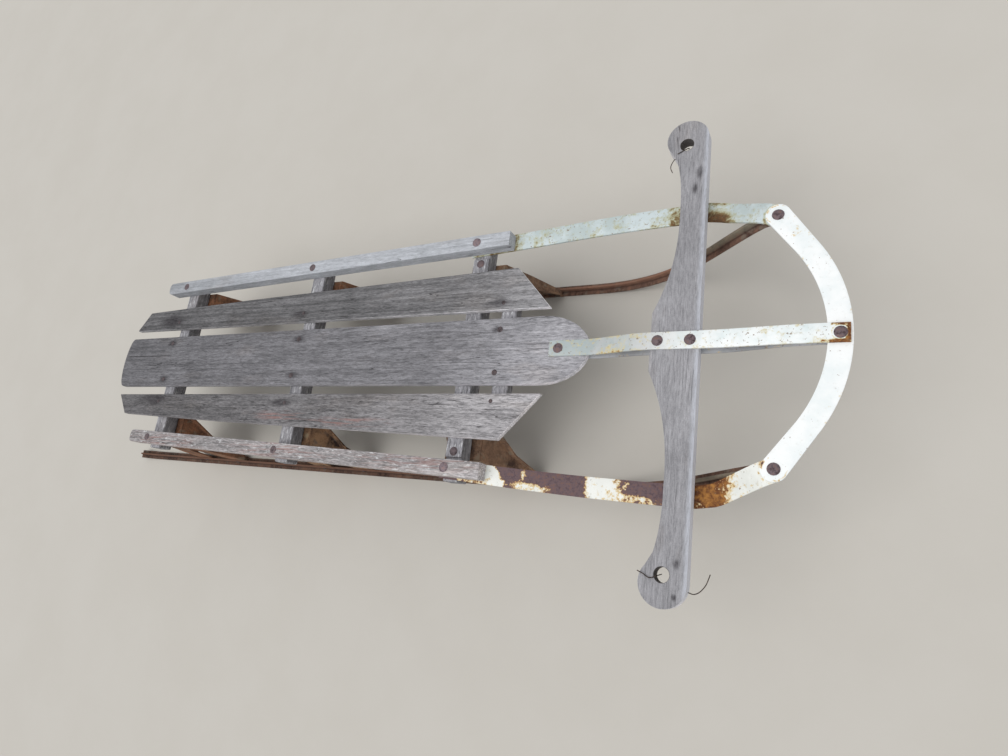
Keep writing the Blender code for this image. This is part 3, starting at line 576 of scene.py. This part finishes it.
def middle(node):
    """The middle of a node's box at rest."""
    return [(a + b) / 2 for a, b in zip(*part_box(node))]


def smooth_mesh(mesh):
    """Smooth a mesh apart from its sharp edges."""
    mesh.shade_smooth()
    mesh.set_sharp_from_angle(angle=SMOOTH_BELOW)


def dress(node, material):
    """Give a node of the frame a material, and smooth its round faces."""
    mesh = NODES[node].data
    mesh.materials.clear()
    mesh.materials.append(material)
    smooth_mesh(mesh)


def add_piece(name, mesh, material, body):
    """A new piece from a mesh. It rides on the body, unless that is None."""
    mesh.materials.clear()
    mesh.materials.append(material)
    item = bpy.data.objects.new(name, mesh)
    bpy.context.scene.collection.objects.link(item)
    if body:
        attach(item, body)
    return item


def mesh_of(form, name):
    """A smooth-shaded mesh from a bmesh, which it frees."""
    mesh = bpy.data.meshes.new(name)
    form.to_mesh(mesh)
    form.free()
    smooth_mesh(mesh)
    return mesh


def set_across(mesh, values):
    """Store a number across the piece's width at each vertex, for the materials."""
    mesh.attributes.new("across", "FLOAT", "POINT").data.foreach_set("value", values)


def slices(nodes, count):
    """Cuts through nodes across X, as rows of (x, low y, high y, low z, high z)."""
    edges = []
    for node in nodes:
        points = [v.co for v in NODES[node].data.vertices]
        edges += [(points[a], points[b]) for a, b in (e.vertices for e in NODES[node].data.edges)]
    low = min(p.x for pair in edges for p in pair) + CUT_INSET
    high = max(p.x for pair in edges for p in pair) - CUT_INSET
    rows = []
    for i in range(count):
        x = mix(low, high, i / (count - 1))
        cuts = [p.lerp(q, (x - p.x) / (q.x - p.x)) for p, q in edges if (p.x - x) * (q.x - x) < 0]
        if cuts:
            rows.append((
                x, min(c.y for c in cuts), max(c.y for c in cuts), min(c.z for c in cuts),
                max(c.z for c in cuts),
            ))
    return rows


def at_x(rows, x):
    """The values of the rows at x, by straight lines between them."""
    x = min(max(x, rows[0][0]), rows[-1][0])
    for lower, upper in zip(rows, rows[1:]):
        if x <= upper[0]:
            t = (x - lower[0]) / (upper[0] - lower[0])
            return [mix(a, b, t) for a, b in zip(lower, upper)]
    return list(rows[-1])


def worn_copy(node, name, material, body, across, step=CUT_STEP):
    """A copy of a flat steel node with softened edges, which replaces it.

    It is cut across X at each step, and across gives a vertex's place across its width.
    """
    form = bmesh.new()
    form.from_mesh(NODES[node].data)
    bmesh.ops.remove_doubles(form, verts=form.verts, dist=MERGE)
    low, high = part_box(node)
    at = low.x + step
    while at < high.x - step / 2:
        everything = form.verts[:] + form.edges[:] + form.faces[:]
        bmesh.ops.bisect_plane(form, geom=everything, dist=MERGE, plane_co=(at, 0, 0), plane_no=(1, 0, 0))
        at += step
    sharp = [e for e in form.edges if len(e.link_faces) == 2 and e.calc_face_angle() > SHARP_ABOVE]
    bmesh.ops.bevel(
        form, geom=sharp, offset=WORN_EDGE, segments=2, profile=0.5, affect="EDGES", clamp_overlap=True,
    )
    mesh = mesh_of(form, name)
    set_across(mesh, [across(v.co) for v in mesh.vertices])
    item = add_piece(name, mesh, material, body)
    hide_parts(node)


# Places that the details share

FRONT_X = middle("front_bench")[0]
MID_X = middle("mid_bench")[0]
REAR_X = middle("rear_bench")[0]
CLEAT_X = middle("front_cleat")[0]
BENCH_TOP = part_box("mid_bench")[1].z
BENCH_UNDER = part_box("mid_bench")[0].z
CLEAT_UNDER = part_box("front_cleat")[0].z
DECK_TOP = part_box("centre_board")[1].z
RAIL_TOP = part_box("left_rail")[1].z
BOW_X = middle("bow_rivet")[0]
JOINT_X, JOINT_Y = middle("left_joint_rivet")[:2]
BAR_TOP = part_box("steering_bar")[1].z
BAR_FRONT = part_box("steering_bar")[1].x
ROPE_HOLE_BACK = 0.027
ROPE_HOLE_X = BAR_FRONT - ROPE_HOLE_BACK
ROPE_HOLE_Y = 0.2645
ROPE_HOLE_RADIUS = 0.0086

# Bolts through the boards, as (x, distance from the middle line)
CENTRE_BOLTS = [(CLEAT_X - 0.0055, 0.031), (MID_X - 0.0065, 0.031), (REAR_X - 0.0115, 0.035)]
SIDE_BOLTS = [(CLEAT_X - 0.0055, 0.071), (MID_X - 0.0080, 0.077), (REAR_X - 0.0090, 0.077)]

RAIL_CUTS = 24
RAIL_ROWS = slices(["left_rail"], RAIL_CUTS)


def rail_y(x):
    """The middle of the left rail's width at x."""
    row = at_x(RAIL_ROWS, x)
    return (row[1] + row[2]) / 2


# Wooden pieces

# Stains round the bolts, as (length, width, how far they lie ahead of the bolt)
CENTRE_STAIN = (0.017, 0.009, 0.0)
CLEAT_STAIN = (0.013, 0.007, -0.004)
FAR_STAIN = (0.028, 0.010, -0.008)
NEAR_STAIN = (0.030, 0.011, -0.008)

# Other marks, as (x, y, length, width)
FAR_TAIL_MARK = (REAR_X - 0.03, 0.080, 0.05, 0.018)
NEAR_TAIL_MARK = (REAR_X - 0.02, -0.073, 0.055, 0.013)
BOARD_PINK = [(MID_X - 0.015, -0.098, 0.07, 0.014), (MID_X + 0.13, -0.105, 0.11, 0.010)]
RAIL_PINK = [(x, -0.155, 0.16, 0.03) for x in (-0.40, -0.10, 0.15)]
BAR_SMUDGES = [
    (BAR_FRONT - 0.009, 0.222, 0.006, 0.016), (BAR_FRONT - 0.014, 0.200, 0.005, 0.012),
    (BAR_FRONT - 0.012, -0.252, 0.005, 0.008), (BAR_FRONT - 0.013, -0.286, 0.004, 0.005),
]
TAIL_SEAM = (-0.56, -0.45, 0.012)

# How light each piece is, as (place along the grain, factor)
CENTRE_SHADES = [(-0.58, 0.74), (-0.4, 0.82), (-0.1, 0.93), (0.15, 1.10), (0.24, 1.54), (0.39, 1.92)]
FAR_SHADES = [(-0.58, 0.80), (-0.1, 0.93), (0.15, 1.1), (0.24, 1.48), (0.33, 1.64)]
NEAR_SHADES = [(-0.58, 0.72), (-0.35, 0.80), (-0.1, 0.98), (0.12, 1.28), (0.24, 1.95), (0.33, 2.12)]
FAR_RAIL_SHADES = [(-0.5, 0.66), (-0.38, 0.85), (-0.1, 1.0), (0.26, 1.0)]
NEAR_RAIL_SHADES = [(-0.5, 0.86), (-0.1, 1.0), (0.26, 1.08)]
BAR_SHADES = [(-0.30, 1.08), (-0.20, 1.06), (-0.06, 1.01), (0.06, 0.96), (0.30, 0.97)]


def stains_at(bolts, sides, stain):
    """Oval marks at the bolts, on each of the sides."""
    length, width, ahead = stain
    return [(x + ahead, SIDES[side] * y, length, width) for x, y in bolts for side in sides]


def dress_boards():
    """The boards are stained round their bolts, and lighter towards the front."""
    stains = stains_at(CENTRE_BOLTS[1:], SIDES, CENTRE_STAIN)
    stains += stains_at(CENTRE_BOLTS[:1], ["left"], CLEAT_STAIN)
    dress("centre_board", wood(
        "centre_wood", 1.3, (124, 123, 127), stains=stains, shades=CENTRE_SHADES, seam=TAIL_SEAM,
        side_face_light=1.85,
    ))
    stains = stains_at(SIDE_BOLTS, ["left"], FAR_STAIN) + [FAR_TAIL_MARK]
    dress("left_board", wood(
        "far_wood", 4.1, (112, 111, 113), stains=stains, shades=FAR_SHADES, contrast=1.15, side_face_light=2.7,
        streaks=1.0,
    ))
    stains = stains_at(SIDE_BOLTS[1:], ["right"], NEAR_STAIN) + [NEAR_TAIL_MARK]
    dress("right_board", wood(
        "near_wood", 7.7, (120, 118, 120), stains=stains, shades=NEAR_SHADES, pink=BOARD_PINK,
        pink_amount=0.5, contrast=1.25, checks=0.8, side_face_light=1.95, dashes=0.75,
    ))


def dress_rails_and_benches():
    """The far rail is pale and smooth, and the near one rough, with traces of red."""
    dress("left_rail", wood(
        "far_rail_wood", 2.9, (178, 181, 187), shades=FAR_RAIL_SHADES, contrast=0.6, checks=0.15,
        dashes=0.2, side_face_light=0.98, streaks=0.4,
    ))
    dress("right_rail", wood(
        "near_rail_wood", 5.3, (164, 160, 161), shades=NEAR_RAIL_SHADES, pink=RAIL_PINK,
        pink_amount=0.42, contrast=1.7, checks=0.6, flecks=0.45,
    ))
    bench = wood("bench_wood", 8.2, (150, 149, 154), along="y", contrast=1.1, flecks=0.7, side_face_light=0.7)
    for node in ("rear_bench", "mid_bench", "front_bench", "front_cleat"):
        dress(node, bench)


def dress_bar():
    """The bar is smooth, with smudges along its front edge, a pale band there that is worn and a painted
    highlight, and painted shade on the walls of its holes.
    """
    dress("steering_bar", wood(
        "bar_wood", 3.6, (151, 150, 154), along="y", shades=BAR_SHADES, stains=BAR_SMUDGES,
        worn_lit_edge=BAR_FRONT, contrast=0.62, coarse=0.75, checks=0.1, dashes=0.3, streaks=0.05, side_face_light=2.3,
        shaded_holes=[(ROPE_HOLE_X, sign * ROPE_HOLE_Y, ROPE_HOLE_RADIUS) for sign in SIDES.values()],
    ))


# Bolts

BOLT_SEED = 7
HEAD_SINK = 0.0004
HEAD_SIDES = 16
HEAD_RIM = 0.0006
# A head's dome, as (share of its radius, share of its rise)
DOME_SHARES = ((0.82, 0.55), (0.45, 0.92))
CENTRE_HEAD_RADIUS = 0.0042
SIDE_HEAD_RADIUS = 0.0030
DECK_HEAD_RISES = (0.0009, 0.0014)
BENCH_HEAD_RADIUS = 0.0062
BENCH_HEAD_RISE = 0.0022
RAIL_HEAD_RISE = 0.0016
BENCH_BOLT_Y = 0.1395
KNEE_TAB = 0.0028
BOLT_RADIUS = 0.0025
BOLT_TAPER = 0.9
BOLT_SIDES = 10
NUT_TURN = 1.5
DECK_NUT, DECK_NUT_HEIGHT, DECK_BOLT_END = 0.0075, 0.0035, 0.003
BENCH_NUT, BENCH_NUT_HEIGHT, BENCH_BOLT_END = 0.007, 0.004, 0.004
FOOT_REACH = 0.045
FOOT_OUTER_Y, FOOT_INNER_Y, FOOT_Z = 0.1583, 0.1529, 0.0078
FOOT_RIVET_RADIUS, FOOT_RIVET_RISE, FOOT_RIVET_SIDES = 0.0032, 0.0016, 12


def dome(form, place, radius, rise, sides=HEAD_SIDES):
    """A bolt head: a low rim and a dome on it. Its back is at the origin of place, and it faces its Z."""
    rows = [(radius, 0.0), (radius, HEAD_RIM)]
    rows += [(radius * wide, mix(HEAD_RIM, rise, high)) for wide, high in DOME_SHARES]
    rings = []
    for r, h in rows:
        rings.append([
            form.verts.new(place @ Vector((r * math.cos(a), r * math.sin(a), h)))
            for a in [2 * math.pi * k / sides for k in range(sides)]
        ])
    for lower, upper in zip(rings, rings[1:]):
        for k in range(sides):
            form.faces.new((lower[k], lower[(k + 1) % sides], upper[(k + 1) % sides], upper[k]))
    form.faces.new(rings[-1])
    form.faces.new(rings[0][::-1])


def nut(form, x, y, z, across_flats, height, turn, bolt_end):
    """A square nut hanging from z, with the end of its bolt below it."""
    square = Matrix.Translation((x, y, z - height / 2)) @ Matrix.Rotation(turn, 4, "Z")
    size = Matrix.Diagonal((across_flats, across_flats, height, 1.0))
    bmesh.ops.create_cube(form, size=1.0, matrix=square @ size)
    end = Matrix.Translation((x, y, z - height - bolt_end / 2))
    bmesh.ops.create_cone(
        form, cap_ends=True, segments=BOLT_SIDES, radius1=BOLT_RADIUS * BOLT_TAPER, radius2=BOLT_RADIUS,
        depth=bolt_end, matrix=end,
    )


def add_bolts():
    """Heads on the boards, benches and rails, with nuts below, and rivets in the knees' feet."""
    draw = random.Random(BOLT_SEED)
    heads, bench_heads, nuts, feet = bmesh.new(), bmesh.new(), bmesh.new(), bmesh.new()
    deck = [(bolt, CENTRE_HEAD_RADIUS) for bolt in CENTRE_BOLTS]
    deck += [(bolt, SIDE_HEAD_RADIUS) for bolt in SIDE_BOLTS]
    for (x, y), radius in deck:
        under = BENCH_UNDER if x < FRONT_X else CLEAT_UNDER
        for sign in SIDES.values():
            top = Matrix.Translation((x, sign * y, DECK_TOP - HEAD_SINK))
            dome(heads, top, radius, draw.uniform(*DECK_HEAD_RISES))
            turn = draw.uniform(0.0, NUT_TURN)
            nut(nuts, x, sign * y, under, DECK_NUT, DECK_NUT_HEIGHT, turn, DECK_BOLT_END)
    for x in (REAR_X, MID_X):
        for sign in SIDES.values():
            top = Matrix.Translation((x, sign * rail_y(x), RAIL_TOP - HEAD_SINK))
            dome(bench_heads, top, BENCH_HEAD_RADIUS, RAIL_HEAD_RISE)
    under = BENCH_UNDER - KNEE_TAB
    for y in (BENCH_BOLT_Y, -BENCH_BOLT_Y):
        top = Matrix.Translation((FRONT_X, y, BENCH_TOP - HEAD_SINK))
        dome(bench_heads, top, BENCH_HEAD_RADIUS, BENCH_HEAD_RISE)
        nut(nuts, FRONT_X, y, under, BENCH_NUT, BENCH_NUT_HEIGHT, 0.0, BENCH_BOLT_END)
    for x in [bench + along for bench in (REAR_X, MID_X, FRONT_X) for along in (-FOOT_REACH, FOOT_REACH)]:
        for sign in SIDES.values():
            for y, turn in ((FOOT_OUTER_Y, -sign), (FOOT_INNER_Y, sign)):
                sideways = Matrix.Rotation(turn * math.pi / 2, 4, "X")
                place = Matrix.Translation((x, sign * y, FOOT_Z)) @ sideways
                dome(feet, place, FOOT_RIVET_RADIUS, FOOT_RIVET_RISE, FOOT_RIVET_SIDES)
    deck_finish = head_finish("bolt_rust", 2.0, DECK_BOLT_TONES)
    bench_finish = head_finish("bench_bolt_rust", 3.0, BENCH_BOLT_TONES)
    for name, form, finish in (
        ("deck_bolts", heads, deck_finish), ("bench_bolts", bench_heads, bench_finish),
        ("deck_nuts", nuts, deck_finish), ("foot_rivets", feet, deck_finish),
    ):
        add_piece(name, mesh_of(form, name), finish, "chassis")


# Runners, knees and rivets

RUNNER_CUTS = 150
SOLE_THICK = 0.003
STEM_HALF = 0.0015
LEAST_STEM = 0.00002
# The number across the runner at each corner of its section
RUNNER_ACROSS = [-1.0, 1.0, 1.0, 0.2, 0.0, 0.0, -0.2, -1.0]
# Worn top of the runners' ridge, also lighter as a painted highlight, as (x, colour)
RUNNER_WORN_LIT_CREST = [(0.48, (152, 112, 92)), (0.53, (140, 136, 120))]
# Painted shade on the runners, darker where they run under the deck, as (x, factor)
RUNNER_UNDER_DECK_SHADE = [(-0.7, 0.60), (0.1, 0.66), (0.3, 1.0)]
PLATE_SPOT = (-0.0953, -0.1227, 0.007, 0.006)


def tee(y0, y1, z0, z1, thick):
    """A tee section in a box, as (y, z) corners: the sole below, and the stem up from its middle."""
    centre, low = (y0 + y1) / 2, z0 + thick
    top = max(z1, low + LEAST_STEM)
    half = min(STEM_HALF, (y1 - y0) / 2)
    return [
        (y0, z0), (y1, z0), (y1, low), (centre + half, low), (centre + half, top), (centre - half, top),
        (centre - half, low), (y0, low),
    ]


def add_runner(side, material):
    """One springy bar along each side, in place of the two parts that the joint splits it into.

    Cuts across those parts give its width and height at each place.
    """
    nodes = [side + "_runner", side + "_runner_front"]
    rows = slices(nodes, RUNNER_CUTS)
    form = bmesh.new()
    rings = []
    for i, (x, y0, y1, z0, z1) in enumerate(rows):
        before, after = rows[max(i - 1, 0)], rows[min(i + 1, len(rows) - 1)]
        slope = (after[3] - before[3]) / (after[0] - before[0])
        thick = min(SOLE_THICK * math.hypot(1.0, slope), z1 - z0)
        rings.append([form.verts.new((x, y, z)) for y, z in tee(y0, y1, z0, z1, thick)])
    corners = len(RUNNER_ACROSS)
    for lower, upper in zip(rings, rings[1:]):
        for k in range(corners):
            following = (k + 1) % corners
            form.faces.new((lower[k], upper[k], upper[following], lower[following]))
    form.faces.new(rings[0])
    form.faces.new(rings[-1][::-1])
    bmesh.ops.recalc_face_normals(form, faces=form.faces)
    mesh = mesh_of(form, side + "_runner_bar")
    set_across(mesh, RUNNER_ACROSS * len(rows))
    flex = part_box(nodes[1])[0].x
    item = add_piece(side + "_runner_bar", mesh, material, None)
    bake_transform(item)
    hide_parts(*nodes)


def dress_steel():
    """The runners, the knees, and the frame's own rivets and bolts."""
    runner_rust = rusty("runner_rust", 0.4, RUNNER_RUST, worn_lit_crest=RUNNER_WORN_LIT_CREST, shades=RUNNER_UNDER_DECK_SHADE)
    for side, sign in SIDES.items():
        add_runner(side, runner_rust)
        for k, place in enumerate(("rear", "mid", "front")):
            tones, marks = KNEE_RUST, []
            if place == "front":
                tones = FRONT_KNEE_RUST
            if place == "mid" and side == "right":
                tones, marks = NEAR_MID_KNEE_RUST, [PLATE_SPOT]
            knee = f"{side}_{place}_knee"
            dress(knee, rusty(knee + "_rust", 1.0 + k + sign / 3, tones, marks))
    rivet = head_finish("rivet_rust", 0.0, RIVET_TONES)
    bolt = head_finish("rail_bolt_rust", 4.0, RAIL_BOLT_TONES)
    for node in NODES:
        if "rivet" in node:
            dress(node, rivet)
        if "bolt" in node:
            dress(node, bolt)


# Bow and straps

BOW_RADIUS = 0.180
BOW_HALF = 0.012
BOW_ARC = math.radians(35.0)
STRAP_CUTS = 60
# Radii of the rusty rings round the rivet heads; the ring on each side strap, round the bow's end that
# lies on it, is painted shadow of that end as well as rust
STRAP_RUST_SHADOW_RING = 0.0155
BOW_RING = 0.0122
BOW_RIVET_RING = 0.0085
# The rusty border at the front end of the upper strap, from behind the bow's rivet to past the end
BORDER_BACK = 0.0165
BORDER_PAST = 0.0055
UPPER_ORANGE_BACK = 0.03
NEAR_ORANGE_X = 0.512


def strap_across(node, sign):
    """Place across a strap: 1 at its edge away from the sled's middle, -1 at the other."""
    rows = slices([node], STRAP_CUTS)
    halfway = rows[len(rows) // 2]
    half = (halfway[2] - halfway[1]) / 2

    def across(point):
        row = at_x(rows, point.x)
        return sign * (point.y - (row[1] + row[2]) / 2) / half
    return across


def bow_across(point):
    """Place across the bow, an arc with straight arms: 1 at its outer edge, -1 at its inner edge."""
    off = Vector((point.x - BOW_X + BOW_RADIUS, abs(point.y)))
    if math.atan2(off.y, off.x) < BOW_ARC:
        return (off.length - BOW_RADIUS) / BOW_HALF
    return (off.dot(Vector((math.cos(BOW_ARC), math.sin(BOW_ARC)))) - BOW_RADIUS) / BOW_HALF


def far_strap_paint():
    """Greenish paint, with brown rust under the bar and a rusty seat at the rail."""
    return chipped(
        "far_strap_paint", 3.3, specks=0.6, dirt=0.6, rim=0.06, soft=0.06,
        paint=((206, 217, 220), (186, 198, 198)), bare=((64, 48, 36), (96, 70, 48), (128, 94, 58)),
        halo=((180, 178, 140), (136, 118, 78)), rings=[(JOINT_X, JOINT_Y, STRAP_RUST_SHADOW_RING, 0.45)],
        inner=[
            (0.18, 0.4), (0.25, 0.42), (0.262, 0.36), (0.275, 0.12), (0.40, 0.08), (0.43, 0.22),
            (0.455, 0.30), (0.47, 0.36), (0.50, 0.62), (0.53, 0.72), (0.55, 0.58), (0.562, 0.24),
            (0.575, 0.05), (0.63, 0.02),
        ],
        outer=[
            (0.18, 0.4), (0.25, 0.46), (0.262, 0.36), (0.275, 0.10), (0.40, 0.06), (0.45, 0.10),
            (0.485, 0.36), (0.51, 0.45), (0.53, 0.38), (0.548, 0.26), (0.562, 0.08), (0.63, 0.0),
        ],
    )


def near_strap_paint():
    """Cream paint, most of it gone behind the bar, and orange rust just ahead of the bar."""
    return chipped(
        "near_strap_paint", 4.3, specks=0.4, dirt=0.3, rim=0.05, warm=NEAR_ORANGE_X, split=(0.0, 0.5),
        paint=((238, 239, 234), (224, 226, 220)), bare=((86, 68, 72), (106, 89, 93), (122, 92, 84)),
        rings=[(JOINT_X, -JOINT_Y, STRAP_RUST_SHADOW_RING, 0.25)],
        inner=[
            (0.18, 0.8), (0.243, 0.55), (0.25, 0.25), (0.268, 0.12), (0.278, 0.9), (0.30, 0.9),
            (0.306, 0.62), (0.315, 0.9), (0.33, 1.0), (0.392, 0.95), (0.401, 0.12), (0.43, 0.16),
            (0.445, 0.70), (0.46, 0.95), (0.53, 0.85), (0.55, 0.62), (0.566, 0.46), (0.578, 0.12),
            (0.63, 0.03),
        ],
        outer=[
            (0.18, 0.6), (0.243, 0.45), (0.25, 0.3), (0.283, 0.12), (0.292, 0.62), (0.30, 0.38),
            (0.33, 0.34), (0.352, 0.42), (0.366, 0.95), (0.392, 0.95), (0.401, 0.15), (0.43, 0.22),
            (0.447, 0.38), (0.475, 0.48), (0.50, 0.66), (0.53, 0.60), (0.548, 0.72), (0.563, 0.36),
            (0.575, 0.10), (0.63, 0.03),
        ],
    )


def add_painted():
    """The bow and the four straps."""
    bow = chipped(
        "bow_paint", 0.3, specks=0.25, dirt=0.12, rim=0.10, paint=((250, 252, 252), (238, 244, 245)),
        rings=[(JOINT_X, sign * JOINT_Y, BOW_RING, 0.22) for sign in SIDES.values()],
    )
    worn_copy("bow", "bow_worn", bow, "bow", bow_across, step=BOW_CUT_STEP)
    upper_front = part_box("upper_centre_strap")[1].x
    upper = chipped(
        "upper_strap_paint", 1.3, specks=0.7, dirt=0.35, rim=0.08, soft=0.04,
        paint=((246, 249, 249), (220, 233, 234)), halo=((212, 196, 138), (164, 120, 72)),
        warm=BOW_X - UPPER_ORANGE_BACK,
        shades=[(0.33, 0.60), (0.40, 0.56), (0.46, 0.64), (0.50, 0.88), (0.55, 1.0), (0.69, 1.0)],
        inner=[(0.33, 0.12), (0.37, 0.14), (0.42, 0.26), (0.46, 0.14), (0.52, 0.04), (0.69, 0.06)],
        outer=[(0.33, 0.10), (0.37, 0.12), (0.42, 0.16), (0.46, 0.14), (0.52, 0.06), (0.69, 0.08)],
        frames=[(BOW_X - BORDER_BACK, upper_front + BORDER_PAST, 0.60)],
        rings=[(BOW_X, 0.0, BOW_RIVET_RING, 0.25)],
    )
    lower = chipped(
        "lower_strap_paint", 2.3, specks=0.6, dirt=0.4, rim=0.1, paint=((176, 178, 182), (150, 152, 156)),
    )
    for place, paint in (("upper", upper), ("lower", lower)):
        node = place + "_centre_strap"
        worn_copy(node, place + "_strap_worn", paint, "steering_arm", strap_across(node, 1.0))
    paints = {"left": far_strap_paint(), "right": near_strap_paint()}
    for side, sign in SIDES.items():
        node = side + "_side_strap"
        worn_copy(node, side + "_strap_worn", paints[side], side + "_strap", strap_across(node, sign))


# Wire left in the rope holes

WIRE_RADIUS = 0.00055
WIRE_ROUNDNESS = 2
# Points of each wire, as (x, y, z) from the middle of its hole at the bar's top
NEAR_WIRES = {
    "near_wire_inside": [
        (-0.0260, 0.0015, 0.0028), (-0.0205, -0.0007, 0.0018), (-0.0125, -0.0045, 0.0008),
        (-0.0050, -0.0015, -0.0002), (-0.0020, 0.0005, -0.0092),
    ],
    "near_wire_front": [
        (0.0276, -0.0145, -0.0052), (0.0350, -0.0151, -0.0032), (0.0438, -0.0077, -0.0032),
        (0.0488, 0.0029, -0.0022), (0.0500, 0.0065, -0.0012),
    ],
}
FAR_WIRES = {
    "far_wire_inside": [
        (0.0005, -0.0005, -0.0092), (0.0015, -0.0055, -0.0002), (-0.0040, -0.0085, 0.0008),
        (-0.0110, -0.0125, 0.0018),
    ],
    "far_wire_loop": [
        (-0.0100, -0.0115, -0.0022), (-0.0175, -0.0195, -0.0032), (-0.0205, -0.0265, -0.0052),
        (-0.0183, -0.0330, -0.0072),
    ],
}


def add_wire(name, points, material):
    """A short end of stiff wire through the given points, as a mesh."""
    line = bpy.data.curves.new(name, "CURVE")
    line.dimensions = "3D"
    line.bevel_depth = WIRE_RADIUS
    line.bevel_resolution = WIRE_ROUNDNESS
    line.use_fill_caps = True
    spline = line.splines.new("BEZIER")
    spline.bezier_points.add(len(points) - 1)
    for knot, place in zip(spline.bezier_points, points):
        knot.co = place
        knot.handle_left_type = "AUTO"
        knot.handle_right_type = "AUTO"
    guide = bpy.data.objects.new(name + "_guide", line)
    bpy.context.scene.collection.objects.link(guide)
    bpy.context.view_layer.update()
    solid = guide.evaluated_get(bpy.context.evaluated_depsgraph_get())
    mesh = bpy.data.meshes.new_from_object(solid)
    bpy.data.objects.remove(guide)
    mesh.name = name
    smooth_mesh(mesh)
    add_piece(name, mesh, material, "steering_arm")


def add_wires():
    """Two ends of old wire at each rope hole."""
    g = Graph("old_wire", roughness=0.6, metallic=0.6)
    wire = g.finish(g.ramp(g.noise(500.0), [(0.4, srgb(52, 46, 44)), (0.6, srgb(96, 84, 76))]))
    for hole_y, wires in ((-ROPE_HOLE_Y, NEAR_WIRES), (ROPE_HOLE_Y, FAR_WIRES)):
        for name, points in wires.items():
            line = [(ROPE_HOLE_X + x, hole_y + y, BAR_TOP + z) for x, y, z in points]
            add_wire(name, line, wire)


# Light and floor

SKY_COLOUR = (0.97, 0.985, 1.0, 1.0)
SKY_STRENGTH = 0.62
SUN_COLOUR = (1.0, 0.985, 0.965)
SUN_STRENGTH = 1.45
SUN_WIDTH = math.radians(55.0)
SUN_TILT = (math.radians(18.0), math.radians(-14.0), 0.0)
FLOOR_HALF = 6.0
FLOOR_COLOUR = srgb(200, 196, 189)
FLOOR_CLOUDS = srgb(180, 174, 163)


def make_light():
    """An even sky, and one very wide sun for soft shadows."""
    world = bpy.data.worlds.new("world")
    bpy.context.scene.world = world
    world.use_nodes = True
    background = world.node_tree.nodes["Background"]
    background.inputs["Color"].default_value = SKY_COLOUR
    background.inputs["Strength"].default_value = SKY_STRENGTH
    lamp = bpy.data.lights.new("sky", "SUN")
    lamp.energy = SUN_STRENGTH
    lamp.angle = SUN_WIDTH
    lamp.color = SUN_COLOUR
    item = bpy.data.objects.new("sky", lamp)
    item.rotation_euler = SUN_TILT
    bpy.context.scene.collection.objects.link(item)


def make_floor():
    """A flat pale floor with faint clouds."""
    mesh = bpy.data.meshes.new("floor")
    form = bmesh.new()
    bmesh.ops.create_grid(form, x_segments=1, y_segments=1, size=FLOOR_HALF)
    form.to_mesh(mesh)
    form.free()
    floor = bpy.data.objects.new("floor", mesh)
    bpy.context.scene.collection.objects.link(floor)
    g = Graph("floor", roughness=0.9, specular=0.2)
    clouds = g.between(g.noise(6.0, 4.0, 0.6), 0.3, 0.7, 0.0, 0.12)
    mesh.materials.append(g.finish(g.mix(clouds, FLOOR_COLOUR, FLOOR_CLOUDS)))


make_camera()
make_light()
make_floor()
dress_boards()
dress_rails_and_benches()
dress_bar()
add_bolts()
dress_steel()
add_painted()
add_wires()

bpy.context.scene.view_settings.view_transform = "Standard"
